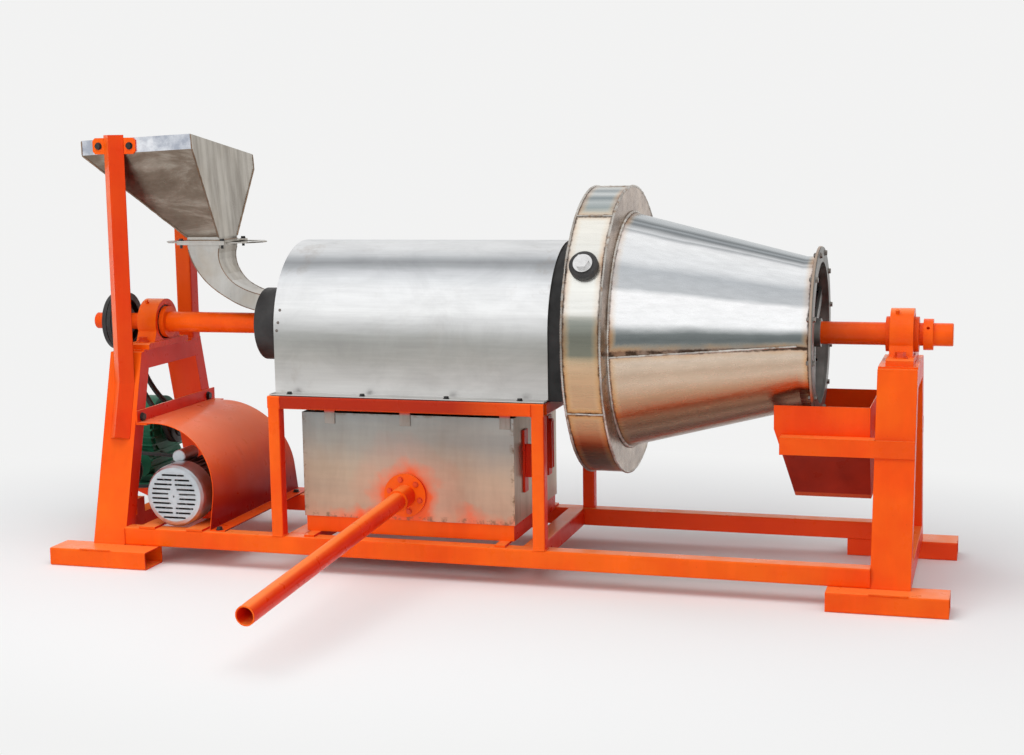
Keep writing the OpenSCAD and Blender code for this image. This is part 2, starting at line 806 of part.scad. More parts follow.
// Shaft collar with a clamping screw hole, outside the right bearing
module shaft_collar() {
    x = right_bearing_x + 53;
    color("orangered") difference() {
        sleeve(x, x + 25, 41, shaft_d / 2 + running_fit);
        translate([x + 12.5, 0, axis_z]) rotate([60, 0, 0]) cylinder(r = 4, h = 60);
    }
}

// Half profile of a grooved pulley about its own axis, for a belt of top width w and thickness t
module pulley_profile(r, rim_w, bore, hub, hub_w, w, t) {
    rim_in = r - t - 9;
    floor_w = w - 2 * t * tan(groove_angle);
    polygon([
        [bore, -hub_w / 2], [hub, -hub_w / 2], [hub + 2, -5], [rim_in, -5], [rim_in, -rim_w / 2], [r, -rim_w / 2],
        [r, -w / 2 - belt_gap], [r - t - belt_gap - 1, -floor_w / 2 - belt_gap],
        [r - t - belt_gap - 1, floor_w / 2 + belt_gap], [r, w / 2 + belt_gap],
        [r, rim_w / 2], [rim_in, rim_w / 2], [rim_in, 5], [hub + 2, 5], [hub, hub_w / 2], [bore, hub_w / 2]
    ]);
}

// Drive pulley on the stub of the main shaft
module drive_pulley() {
    color("black") translate([pulley_x, 0, axis_z]) rotate([0, 90, 0]) rotate_extrude($fn = 128) {
        pulley_profile(pulley_r, pulley_w, stub_d / 2 + running_fit, 38, pulley_w + 5, belt_w, belt_t);
    }
}

// Drum: neck, left end wall and shell in one welded piece
module drum() {
    color("black") turned() polygon([
        [neck_r - drum_wall, neck_x0], [neck_r, neck_x0], [neck_r, drum_x0], [drum_r, drum_x0],
        [drum_r, ring_x0], [drum_r - drum_wall, ring_x0], [drum_r - drum_wall, drum_x0 + drum_wall],
        [neck_r - drum_wall, drum_x0 + drum_wall]
    ]);
}

// Places of the two spoke planes inside the drum
function drum_spoke_x() = [drum_x0 + 30, ring_x0 - 45];

// Two helical flights on the inside of the drum shell, between the spoke planes
module drum_flights() {
    x0 = drum_spoke_x()[0] + hub_w / 2 + 2;
    x1 = drum_spoke_x()[1] - hub_w / 2 - 2;
    r = drum_r - drum_wall - seat_gap - 0.1;
    turns = (x1 - x0) / flight_lead;
    color("dimgray") for (start = [0, 180]) {
        translate([x0, 0, axis_z]) rotate([0, 90, 0]) rotate(start) {
            linear_extrude(x1 - x0, twist = -360 * turns, slices = round(48 * turns), $fn = 8) {
                translate([r - flight_h, -flight_t / 2]) square([flight_h - 0.2, flight_t]);
            }
        }
    }
}

// Hub with three bars that reach out to a radius
module spokes(x, reach, first) {
    r = sqrt(reach * reach - spoke_w * spoke_w / 4);
    sleeve(x - hub_w / 2, x + hub_w / 2, hub_r, shaft_d / 2 + running_fit);
    for (a = [0:120:240]) {
        translate([x, 0, axis_z]) rotate([first + a, 0, 0]) {
            translate([-spoke_t / 2, hub_r - 3, -spoke_w / 2]) cube([spoke_t, r - hub_r + 3, spoke_w]);
        }
    }
}

module drum_spokes() {
    color("dimgray") for (x = drum_spoke_x()) spokes(x, drum_r - drum_wall - seat_gap, 30);
}

// Sand ring: band between two plates, open to the drum and to the cone, with the plug hole
module sand_ring() {
    inner = sieve_r0 - sieve_wall - 10;
    color("silver") difference() {
        turned() polygon([
            [inner, ring_x0], [ring_r, ring_x0], [ring_r, cone_x0], [cone_r0 - 8, cone_x0],
            [cone_r0 - 8, cone_x0 - ring_wall], [ring_r - ring_wall, cone_x0 - ring_wall],
            [ring_r - ring_wall, ring_x0 + ring_wall], [inner, ring_x0 + ring_wall]
        ]);
        on_plug_axis() cylinder(r = plug_d / 2 + running_fit, h = ring_r + 50);
    }
}

// Frame of the plug: its Z runs out of the ring along the plug axis
module on_plug_axis() {
    translate([ring_x0 + ring_w / 2, 0, axis_z]) rotate([90 - plug_angle, 0, 0]) children();
}

// Boss welded on the band, shaped to it underneath and bored for the plug
module plug_boss() {
    color("black") difference() {
        on_plug_axis() union() {
            translate([0, 0, ring_r - 12]) cylinder(r = boss_d / 2, h = boss_h + 8);
            translate([0, 0, ring_r + boss_h - 4]) cylinder(r1 = boss_d / 2, r2 = boss_d / 2 - 4, h = 4);
        }
        sleeve(ring_x0 - 50, cone_x0 + 50, ring_r + running_fit, 1);
        on_plug_axis() cylinder(r = plug_d / 2 + running_fit, h = ring_r + 60);
    }
}

// Sand plug with a hexagon head, which is drawn out along its axis
module sand_plug() {
    face = ring_r + boss_h + running_fit;
    color("silver") on_plug_axis() {
        translate([0, 0, ring_r - 6]) cylinder(r = plug_d / 2, h = boss_h + 6 + cut);
        translate([0, 0, face]) cylinder(r = plug_d / 2 + 8, h = 5);
        translate([0, 0, face + 5 - cut / 2]) cylinder(r = plug_d / 2 + 2.5, h = 14, $fn = 6);
    }
}

// Outer cone with its spigot up to the outlet flange
module outlet_cone() {
    color("silver") turned() polygon([
        [cone_r0 - cone_wall, cone_x0], [cone_r0, cone_x0], [cone_r1, cone_x1], [cone_r1, flange_x],
        [cone_r1 - cone_wall, flange_x], [cone_r1 - cone_wall, cone_x1]
    ]);
}

// Radius of the sieve cone's outside at a place along the axis
function sieve_r(x) = sieve_r0 + (sieve_r1 - sieve_r0) * (x - cone_x0) / (flange_x - cone_x0);

// Sieve cone: slotted inner cone, held between the sand ring and the bolted outlet flange
module sieve_cone() {
    x0 = ring_x0 + ring_wall;
    x1 = flange_x + flange_t;
    slot_w = 7;
    rows = 3;
    row_len = (flange_x - cone_x0) / rows;
    color("gray") difference() {
        turned() polygon([
            [sieve_r(x0) - sieve_wall, x0], [sieve_r(x0), x0], [sieve_r1, flange_x], [sieve_r1, x1],
            [flange_r - 2, x1], [flange_r - 2, x1 + sieve_wall], [sieve_r1 - sieve_wall, x1 + sieve_wall],
            [sieve_r1 - sieve_wall, flange_x]
        ]);
        translate([0, 0, axis_z]) for (i = [0:sieve_slots - 1], row = [0:rows - 1]) {
            rotate([i * 360 / sieve_slots, 0, 0]) {
                translate([cone_x0 + row * row_len + 10, sieve_r0 - 20, -slot_w / 2]) cube([row_len - 30, 60, slot_w]);
            }
        }
        on_flange_bolts() bolt_hole(bolt_m8, 40);
    }
}

// Places of the bolts round the outlet flange, heads to the right
module on_flange_bolts() {
    for (i = [0:flange_bolts - 1]) {
        translate([flange_x + flange_t + sieve_wall, 0, axis_z]) rotate([(i + 0.5) * 360 / flange_bolts, 0, 0]) {
            translate([0, flange_bolt_r, 0]) rotate([0, 90, 0]) children();
        }
    }
}

module outlet_flange() {
    color("silver") difference() {
        sleeve(flange_x, flange_x + flange_t, flange_r, sieve_r1 + 1);
        on_flange_bolts() bolt_hole(bolt_m8, 40);
    }
}

// Spokes between the shaft and the outlet end of the sieve cone
module outlet_spokes() {
    color("gray") spokes(flange_x - 12, sieve_r1 - sieve_wall - 0.5, 30);
}

// Bolts and nuts round the outlet flange
module outlet_bolts() {
    grip = flange_t + sieve_wall;
    color("dimgray") on_flange_bolts() {
        hex_bolt(bolt_m8, grip + 8);
        translate([0, 0, -grip - 6.5]) cylinder(r = 1.75 * bolt_m8, h = 6.5, $fn = 6);
    }
}

// Middle line of the drive belt's inner face in Y and Z: round both pulleys, with the slack side at the back
function belt_line() = let (
    big = pulley_r - belt_t, small = small_pulley_r - belt_t,
    span = norm([gear_y, gear_z - axis_z]),
    dir = atan2(gear_z - axis_z, gear_y),
    tilt = acos((big - small) / span),
    taut = dir - tilt,
    slack_big = -10,
    slack_small = 62
) concat(
    [for (i = [0:24]) let (a = slack_big + (360 + taut - slack_big) * i / 24)
        [big * cos(a), axis_z + big * sin(a)]],
    [for (i = [0:24]) let (a = taut + (slack_small - taut) * i / 24)
        [gear_y + small * cos(a), gear_z + small * sin(a)]],
    [for (i = [1:15]) let (
        t = i / 16,
        p0 = [gear_y + small * cos(slack_small), gear_z + small * sin(slack_small)],
        p3 = [big * cos(slack_big), axis_z + big * sin(slack_big)],
        p1 = p0 + 150 * [cos(slack_small + 90), sin(slack_small + 90)],
        p2 = p3 + 150 * [cos(slack_big - 90), sin(slack_big - 90)]
    ) pow(1 - t, 3) * p0 + 3 * t * pow(1 - t, 2) * p1 + 3 * t * t * (1 - t) * p2 + pow(t, 3) * p3]
);

// The same line moved outwards by d
function let_out(line, d) = [for (i = [0:len(line) - 1]) let (
    a = line[(i + len(line) - 1) % len(line)], b = line[(i + 1) % len(line)],
    v = b - a, n = [v[1], -v[0]] / norm(v)
) line[i] + d * n];

// Drive belt: loop of V-belt between the gearbox and the drum shaft
module drive_belt() {
    line = belt_line();
    floor_w = belt_w - 2 * belt_t * tan(groove_angle);
    mid_w = (belt_w + floor_w) / 2;
    color("black") {
        along_x(pulley_x - floor_w / 2, pulley_x + floor_w / 2) difference() {
            polygon(let_out(line, belt_t / 2));
            polygon(line);
        }
        along_x(pulley_x - mid_w / 2, pulley_x + mid_w / 2) difference() {
            polygon(let_out(line, belt_t));
            polygon(let_out(line, belt_t / 2));
        }
    }
}

// Output pulley of the gearbox
module output_pulley() {
    color("black") translate([pulley_x, gear_y, gear_z]) rotate([0, 90, 0]) rotate_extrude($fn = 96) {
        pulley_profile(small_pulley_r, 26, gear_shaft_r + running_fit, 27, 32, belt_w, belt_t);
    }
}

// Worm gearbox housing: round wheel case over a worm case, ribbed in front and at the sides
module gearbox_housing() {
    mid = (gear_x0 + gear_x1) / 2;
    rib_t = 5;
    color("darkgreen") difference() {
        union() {
            along_x(gear_x0 + 12, gear_x1 - 12) union() {
                translate([gear_y, gear_z]) circle(gear_body_r - 6, $fn = 96);
                translate([gear_y - gear_body_r + 24, gear_base_z]) square([2 * gear_body_r - 48, gear_z - gear_base_z]);
            }
            translate([gear_x0 + 6, gear_y, gear_z]) rotate([0, 90, 0]) cylinder(r = gear_body_r - 20, h = gear_x1 - gear_x0 - 12, $fn = 96);
            translate([gear_x0, gear_y, gear_z]) rotate([0, 90, 0]) cylinder(r = 42, h = gear_x1 - gear_x0);
            translate([worm_x, gear_y + gear_body_r, worm_z]) rotate([90, 0, 0]) cylinder(r = 44, h = 2 * gear_body_r);
            translate([gear_x0, gear_y - gear_body_r, gear_base_z]) cube([gear_x1 - gear_x0, 2 * gear_body_r, 14]);
            for (i = [0:6]) {
                translate([gear_x0 + 4, gear_y - gear_body_r + 2, gear_base_z + 36 + i * 24]) {
                    cube([gear_x1 - gear_x0 - 8, 2 * gear_body_r - 4, rib_t]);
                }
            }
        }
        translate([gear_x1 - 70, gear_y, gear_z]) rotate([0, 90, 0]) cylinder(r = gear_shaft_r + running_fit, h = 80);
        translate([worm_x, gear_y - 40, worm_z]) rotate([90, 0, 0]) cylinder(r = worm_r + running_fit, h = 80);
        for (p = gear_foot_places()) translate(p) bolt_hole(bolt_m12, 30);
        translate([mid - 20, gear_y - gear_body_r - cut, gear_base_z - cut]) cube([40, 2 * gear_body_r + 2 * cut, 6 + cut]);
    }
}

// Places of the bolts in the gearbox feet
function gear_foot_places() = [for (sx = [-1, 1]) for (sy = [-1, 1])
    [(gear_x0 + gear_x1) / 2 + sx * 48, gear_y + sy * (gear_body_r - 9), gear_base_z + 14]];

module gearbox_output_shaft() {
    color("silver") translate([gear_x1 - 65, gear_y, gear_z]) rotate([0, 90, 0]) {
        cylinder(r = gear_shaft_r, h = pulley_x + 20 - gear_x1 + 65);
    }
}

module worm_shaft() {
    color("silver") translate([worm_x, gear_y - 45, worm_z]) rotate([90, 0, 0]) {
        cylinder(r = worm_r, h = gear_y - 45 - input_y + 22);
    }
}

// Bracket that carries the gearbox beside the stand, on the back left foot
module gearbox_bracket() {
    x1 = left_stand_x - leg_w / 2 - 2;
    top_t = 6;
    wall = 8;
    foot_y0 = left_foot_y - foot_w;
    color("orangered") difference() {
        union() {
            translate([gear_x0 - 6, gear_y - gear_body_r - 4, gear_base_z - top_t]) {
                cube([x1 - gear_x0 + 6, 2 * gear_body_r + 8, top_t]);
            }
            for (y = [foot_y0 + 4, left_foot_y - wall - 4]) {
                along_y(y, y + wall) polygon([
                    [-foot_x - foot_len / 2, foot_h], [x1, foot_h], [x1, gear_base_z - top_t + cut / 2],
                    [gear_x0, gear_base_z - top_t + cut / 2], [gear_x0, gear_base_z - 24]
                ]);
            }
        }
        for (p = gear_foot_places()) translate(p) bolt_hole(bolt_m12, 30);
    }
}

module input_pulley() {
    color("black") translate([worm_x, input_y, worm_z]) rotate([90, 0, 0]) rotate_extrude($fn = 96) {
        pulley_profile(input_pulley_r, 20, worm_r + running_fit, 22, 28, small_belt_w, small_belt_t);
    }
}

module motor_pulley() {
    color("black") translate([motor_x, input_y, motor_z]) rotate([90, 0, 0]) rotate_extrude($fn = 96) {
        pulley_profile(motor_pulley_r, 20, motor_shaft_r + running_fit, 18, 28, small_belt_w, small_belt_t);
    }
}

// Outline of a taut belt round two pulleys in X and Z, its inner face let out by d
module taut_loop(d) {
    ra = input_pulley_r - small_belt_t + d;
    rb = motor_pulley_r - small_belt_t + d;
    v = [motor_x - worm_x, motor_z - worm_z];
    dir = atan2(v[1], v[0]);
    tilt = acos((ra - rb) / norm(v));
    translate([worm_x, worm_z]) circle(ra, $fn = 96);
    translate([motor_x, motor_z]) circle(rb, $fn = 96);
    polygon([
        [worm_x + ra * cos(dir + tilt), worm_z + ra * sin(dir + tilt)],
        [motor_x + rb * cos(dir + tilt), motor_z + rb * sin(dir + tilt)],
        [motor_x + rb * cos(dir - tilt), motor_z + rb * sin(dir - tilt)],
        [worm_x + ra * cos(dir - tilt), worm_z + ra * sin(dir - tilt)]
    ]);
}

// Input belt: loop of V-belt from the motor through the stand to the gearbox
module input_belt() {
    floor_w = small_belt_w - 2 * small_belt_t * tan(groove_angle);
    mid_w = (small_belt_w + floor_w) / 2;
    color("black") {
        along_y(input_y - floor_w / 2, input_y + floor_w / 2) difference() {
            taut_loop(small_belt_t / 2);
            taut_loop(0);
        }
        along_y(input_y - mid_w / 2, input_y + mid_w / 2) difference() {
            taut_loop(small_belt_t);
            taut_loop(small_belt_t / 2);
        }
    }
}

// Frame of the motor: its Z runs to the back along the motor axis from the fan cover's face
module on_motor_axis(y) {
    translate([motor_x, y, motor_z]) rotate([-90, 0, 0]) children();
}

// Motor housing: ribbed barrel, end shields and feet
module motor_housing() {
    y0 = motor_y0 + cover_l - 2;
    ribs = 28;
    color("dimgray") difference() {
        union() {
            on_motor_axis(y0) cylinder(r = motor_r - 4, h = motor_y1 - y0, $fn = 96);
            on_motor_axis(y0 - 8) cylinder(r = fan_cover_r - 2 - seat_gap, h = 14, $fn = 96);
            on_motor_axis(motor_y1 - 34) cylinder(r = motor_r + 2, h = 22, $fn = 96);
            on_motor_axis(motor_y1 - 14) cylinder(r1 = motor_r - 4, r2 = 40, h = 22, $fn = 96);
            for (i = [0:ribs - 1]) {
                on_motor_axis(y0 + 2) rotate(i * 360 / ribs) translate([motor_r - 8, -1.5, 0]) {
                    cube([9, 3, motor_y1 - y0 - 34]);
                }
            }
            for (s = [-1, 1]) {
                translate([motor_x + s * motor_foot_x - 20, motor_foot_y[0] - 18, rail_top + tab_t]) {
                    cube([40, motor_foot_y[1] - motor_foot_y[0] + 36, 10]);
                }
                translate([motor_x + s * 56 - 8, motor_foot_y[0] - 12, rail_top + tab_t]) {
                    cube([16, motor_foot_y[1] - motor_foot_y[0] + 24, 46]);
                }
            }
            translate([motor_x - 45, motor_y0 + 78, motor_z + motor_r - 12]) cube([50, 80, 17]);
        }
        on_motor_axis(y0 - 10) cylinder(r = motor_shaft_r + running_fit, h = motor_y1 - y0 + 30);
        for (p = motor_foot_places()) translate(p) bolt_hole(bolt_m10, 30);
        capacitor_seat(running_fit);
    }
}

// Places of the bolts in the motor feet
function motor_foot_places() = [for (sx = [-1, 1]) for (y = motor_foot_y)
    [motor_x + sx * (motor_foot_x + 10), y, rail_top + tab_t + 10]];

// Space of the capacitor can, let out by d
module capacitor_seat(d) {
    translate([motor_x - 20, motor_y0 + 66, motor_z + motor_r + 19]) rotate([-90, 0, 0]) cylinder(r = 20 + d, h = 110);
}

module capacitor() {
    color("silver") translate([motor_x - 20, motor_y0 + 76, motor_z + motor_r + 19]) rotate([-90, 0, 0]) {
        cylinder(r1 = 17, r2 = 20, h = 3);
        translate([0, 0, 3]) cylinder(r = 20, h = 82);
    }
}

// Rotor: shaft through the motor with the cooling fan on its front end
module motor_rotor() {
    blades = 8;
    fan_y = motor_y0 + 24;
    color("silver") {
        on_motor_axis(fan_y - 6) cylinder(r = motor_shaft_r, h = input_y + 20 - fan_y + 6);
        on_motor_axis(fan_y) difference() {
            cylinder(r = 26, h = 24);
            translate([0, 0, -cut]) cylinder(r = motor_shaft_r - 1, h = 24 + 2 * cut);
        }
        for (i = [0:blades - 1]) {
            on_motor_axis(fan_y) rotate(i * 360 / blades) translate([24, -1.5, 0]) cube([46, 3, 24]);
        }
    }
}

// Slot with round ends along X, cut through the face of the fan cover
module cover_slot(x0, x1, z) {
    slot_r = 2.6;
    translate([x0, 0, z - slot_r]) cube([x1 - x0, 10, 2 * slot_r]);
    for (x = [x0, x1]) translate([x, 10, z]) rotate([90, 0, 0]) cylinder(r = slot_r, h = 10, $fn = 16);
}

// Fan cover: pressed cup with rows of slots in its face and the hub left bare
module fan_cover() {
    sheet = 2;
    lip = 8;
    pitch = 2 * (fan_cover_r - 29) / (slot_rows - 1);
    hub = 14;
    color("silver") difference() {
        on_motor_axis(motor_y0) rotate_extrude($fn = 96) polygon([
            [0, 0], [fan_cover_r - 18, 0], [fan_cover_r - lip, 3], [fan_cover_r - 2, 12], [fan_cover_r, 22],
            [fan_cover_r, cover_l], [fan_cover_r - sheet, cover_l], [fan_cover_r - sheet, 23], [fan_cover_r - lip, 7],
            [fan_cover_r - 18, sheet + 1], [0, sheet + 1]
        ]);
        for (i = [0:slot_rows - 1]) {
            z = (i - (slot_rows - 1) / 2) * pitch;
            reach = sqrt(pow(fan_cover_r - 18, 2) - z * z);
            gap = abs(z) > fan_cover_r - 32 ? 0 : max(7, hub * 1.6 - abs(z) * 0.5);
            translate([motor_x, motor_y0 - cut, motor_z]) {
                if (gap == 0) {
                    cover_slot(-reach + 6, reach - 6, z);
                } else {
                    cover_slot(-reach + 6, -gap, z);
                    cover_slot(gap, reach - 6, z);
                }
            }
        }
        translate([motor_x, motor_y0 - cut, motor_z]) rotate([-90, 0, 0]) cylinder(r = 3, h = 10);
        capacitor_seat(1);
    }
}

// Two flat bars across the rails that carry the motor
module motor_base() {
    bar_w = 50;
    color("orangered") difference() {
        for (s = [-1, 1]) {
            translate([motor_x + s * motor_foot_x - bar_w / 2 + s * 4, -rail_y, rail_top]) cube([bar_w, 2 * rail_y, tab_t]);
        }
        for (p = motor_foot_places()) translate(p) bolt_hole(bolt_m10, 30);
    }
}

// Outline of the sheet guard in X and Z: flat top, round shoulder, side and foot flange
module guard_outline() {
    x0 = rail_x0 + bar_t + 0.3;
    cx = guard_x1 - guard_r;
    cz = guard_top - guard_r;
    foot_t = 3;
    translate([x0, guard_top - guard_t]) square([cx - x0, guard_t]);
    intersection() {
        difference() {
            translate([cx, cz]) circle(guard_r, $fn = 128);
            translate([cx, cz]) circle(guard_r - guard_t, $fn = 128);
        }
        translate([cx, cz]) square(guard_r + cut);
    }
    translate([guard_x1 - guard_t, rail_top]) square([guard_t, cz - rail_top]);
    translate([guard_x1 - guard_t, rail_top]) square([45 + guard_t, foot_t]);
}

// Sheet guard over the motor and its belt, with the bolt holes of its foot flange
module belt_guard() {
    y0 = 2 - face_y(rail_top);
    y1 = face_y(rail_top) + guard_back;
    up = guard_top - rail_top;
    color("orangered") difference() {
        intersection() {
            along_y(y0 - cut, y1 + cut) guard_outline();
            along_x(rail_x0, guard_x1 + 100) polygon([
                [y0, rail_top], [y0 + up * lean, guard_top], [y1 - up * lean, guard_top], [y1, rail_top]
            ]);
        }
        for (p = guard_foot_places()) translate(p) bolt_hole(bolt_m10, 30);
    }
}

// Places of the bolts in the foot flange of the guard
function guard_foot_places() = [for (s = [-1, 1]) [guard_x1 + 24, s * (rail_y - rail / 2), rail_top + 3]];

// Angle bar bolted across the left stand, on which the guard rests
module guard_bar() {
    y0 = -face_y(bar_z) + 4;
    y1 = face_y(bar_z) + left_back + 15;
    color("orangered") difference() {
        along_y(y0, y1) polygon([
            [rail_x0, bar_z], [rail_x0 + bar_h - 5, bar_z], [rail_x0 + bar_h - 5, bar_z + bar_t],
            [rail_x0 + bar_t, bar_z + bar_t], [rail_x0 + bar_t, bar_z + bar_h], [rail_x0, bar_z + bar_h]
        ]);
        for (y = bar_bolt_y) translate([rail_x0 + bar_t, y, bar_z + bar_h / 2]) rotate([0, 90, 0]) bolt_hole(bolt_m12, 25);
    }
}

// Outline of an arched sheet in Y and Z: round top, straight sides and flanges along the bottom
module arch_outline(r, wall, z, flange) {
    difference() {
        union() {
            translate([0, axis_z]) circle(r, $fn = 128);
            translate([-r, z]) square([2 * r, axis_z - z]);
            translate([-r - flange, z]) square([2 * (r + flange), wall]);
        }
        translate([0, axis_z]) circle(r - wall, $fn = 128);
        translate([-r + wall, z - cut]) square([2 * (r - wall), axis_z - z + cut]);
        translate([-r, z - 2 * r]) square([2 * r, 2 * r]);
    }
}

// Hood: arched outer sheet, bolted to the cage through its flanges
module hood() {
    color("silver") difference() {
        along_x(hood_x0, hood_x1) arch_outline(hood_r, hood_wall, hood_z, hood_flange);
        hood_bolt_holes();
    }
}

module hood_bolt_holes() {
    for (x = hood_bolt_x, s = [-1, 1]) {
        translate([x, s * (rail_y - hood_bolt_y), hood_z + hood_wall]) bolt_hole(bolt_m8, 20);
    }
}

// Inner jacket round the drum, closed by end plates with openings for the neck and the drum
module drum_jacket() {
    x0 = hood_x0 + 6;
    end_hole = [[x0, neck_r + 8], [jacket_x1 - jacket_wall, drum_r + 7]];
    color("black") difference() {
        union() {
            along_x(x0, jacket_x1) arch_outline(jacket_r, jacket_wall, jacket_z, 0);
            along_x(x0, cage_x1) arch_outline(jacket_r, jacket_wall, jacket_z, hood_flange + 4);
            for (e = end_hole) {
                along_x(e[0], e[0] + jacket_wall) difference() {
                    union() {
                        translate([0, axis_z]) circle(jacket_r, $fn = 128);
                        translate([-jacket_r, jacket_z]) square([2 * jacket_r, axis_z - jacket_z]);
                    }
                    translate([0, axis_z]) circle(e[1], $fn = 128);
                    translate([-2 * jacket_r, jacket_z - 2 * jacket_r]) square([4 * jacket_r, 2 * jacket_r]);
                    if (e[1] > drum_r) translate([-60, jacket_z - cut]) square([120, 20]);
                }
            }
        }
        hood_bolt_holes();
    }
}

// Furnace box: open sheet box with the air hole in its front
module furnace_box() {
    color("silver") difference() {
        translate([furnace_x0, furnace_y0, furnace_z0]) {
            cube([furnace_x1 - furnace_x0, furnace_y1 - furnace_y0, furnace_z1 - furnace_z0]);
        }
        translate([furnace_x0 + furnace_wall, furnace_y0 + furnace_wall, furnace_z0 + furnace_wall]) {
            cube([furnace_x1 - furnace_x0 - 2 * furnace_wall, furnace_y1 - furnace_y0 - 2 * furnace_wall, furnace_z1]);
        }
        translate([air_x, furnace_y0 - cut, air_z]) rotate([-90, 0, 0]) cylinder(r = air_od / 2 - air_wall, h = 10);
        on_air_bolts() bolt_hole(bolt_m8, 25);
    }
}

// Base of the furnace: frame of channel bars on tabs that lie on the rails
module furnace_base() {
    inset = 4;
    x0 = furnace_x0 + inset;
    x1 = furnace_x1 - inset;
    y0 = furnace_y0 + inset;
    y1 = furnace_y1 - inset;
    z0 = rail_top + tab_t;
    web = 4;
    color("orangered") {
        difference() {
            translate([x0, y0, z0]) cube([x1 - x0, y1 - y0, furnace_base_h]);
            translate([x0 + base_bar, y0 + base_bar, z0 - cut]) {
                cube([x1 - x0 - 2 * base_bar, y1 - y0 - 2 * base_bar, furnace_base_h + 2 * cut]);
            }
            translate([x0 + web, y0 + web, z0 - cut]) {
                cube([x1 - x0 - 2 * web, y1 - y0 - 2 * web, furnace_base_h - web + cut]);
            }
        }
        for (x = base_tab_x) {
            translate([x, -rail_y + 12, rail_top]) cube([tab_w, y0 + 20 + rail_y - 12, tab_t]);
            translate([x, y1 - 20, rail_top]) cube([tab_w, rail_y - 12 - y1 + 20, tab_t]);
        }
    }
}

// Tabs from the furnace to the cage, the latch bars at its ends and the loop handle at the back right
module furnace_brackets() {
    bar_z0 = furnace_z0 + 75;
    bar_z1 = furnace_z1 - 45;
    stem = 6;
    color("orangered") {
        for (x = top_tab_x) {
            translate([x - tab_w / 2, furnace_y0 - 3, furnace_z1 - 30]) cube([tab_w, 3, 30 + furnace_top_gap + 12]);
            translate([x - tab_w / 2, -rail_y + cage_tube, furnace_z1 + furnace_top_gap + 8]) {
                cube([tab_w, furnace_y0 + rail_y - cage_tube, 4]);
            }
        }
        for (s = [[furnace_x0 - stem, -1], [furnace_x1, 1]]) {
            translate([s[0], -150, bar_z0]) cube([stem, 34, bar_z1 - bar_z0]);
            translate([s[1] < 0 ? s[0] - 18 : s[0] + stem, -136, bar_z0 + 40]) cube([18, 6, bar_z1 - bar_z0 - 80]);
            translate([s[0], 96, bar_z0]) cube([stem, 34, bar_z1 - bar_z0]);
        }
    }
    color("black") along_x(furnace_x1 + stem, furnace_x1 + stem + 8) translate([113, bar_z0 + 20]) {
        difference() {
            union() {
                translate([0, 130]) circle(13);
                translate([-13, 0]) square([26, 130]);
            }
            translate([0, 130]) circle(6);
            translate([-6, -cut]) square([12, 130 + cut]);
        }
    }
}

// Frame of the air pipe: its Z runs out of the furnace along the pipe
module on_air_axis() {
    translate([air_x, furnace_y0, air_z]) rotate([90 + air_dip, 0, 0]) rotate([0, -air_yaw, 0]) children();
}

// Places of the bolts of the air flange, heads to the front
module on_air_bolts() {
    for (i = [0:air_bolts - 1]) {
        translate([air_x, furnace_y0 - air_flange_t, air_z]) rotate([0, i * 360 / air_bolts + 15, 0]) {
            translate([air_bolt_r, 0, 0]) rotate([90, 0, 0]) children();
        }
    }
}

// Air pipe with its flange and a short socket, bored through
module air_pipe() {
    bore = air_od / 2 - air_wall;
    color("orangered") difference() {
        union() {
            translate([air_x, furnace_y0, air_z]) rotate([90, 0, 0]) cylinder(r = air_flange_d / 2, h = air_flange_t, $fn = 96);
            on_air_axis() cylinder(r = air_od / 2, h = air_len);
            on_air_axis() cylinder(r = air_od / 2 + 6, h = 62);
        }
        on_air_axis() translate([0, 0, -20]) cylinder(r = bore, h = air_len + 40);
        translate([air_x - air_flange_d, furnace_y0, air_z - air_flange_d]) cube([2 * air_flange_d, 40, 2 * air_flange_d]);
        on_air_bolts() bolt_hole(bolt_m8, 25);
    }
}

// Angles welded across the right stand, in front and at the back, which carry the trough
module trough_angles() {
    x0 = trough_x0 + 20;
    x1 = right_stand_x + leg_w / 2;
    z1 = trough_top - 76;
    z0 = z1 - trough_angle_w;
    t = 5;
    y = face_y(z0);
    color("orangered") for (s = [0, 1]) mirror([0, s, 0]) {
        translate([x0, -y - t - seat_gap, z0]) cube([x1 - x0, t, trough_angle_w]);
        translate([x0, -y - t - seat_gap, z1 - t]) cube([rail_x1 - 0.5 - x0, y + t - trough_y - 0.2, t]);
    }
}

// Discharge trough: straight box under the outlet over a tapered chute
module discharge_trough() {
    x1 = rail_x1 - 14;
    wall = 2.5;
    waist = trough_top - 76 - trough_angle_w;
    left_top = trough_top - 62;
    low_y = trough_y - 60;
    sections = [[trough_x0 + 50, low_y, trough_bottom], [trough_x0 + 20, trough_y, waist],
        [trough_x0, trough_y, left_top], [trough_x0, trough_y, trough_top]];
    color("orangered") difference() {
        shell_loft([for (s = sections) level_rect(s[0], x1, -s[1], s[1], s[2])],
            [for (s = sections) level_rect(s[0] + wall, x1 - wall, wall - s[1], s[1] - wall, s[2])]);
        translate([trough_x0 - 10, -trough_y + 8, left_top]) cube([20, 2 * trough_y - 16, 100]);
    }
}

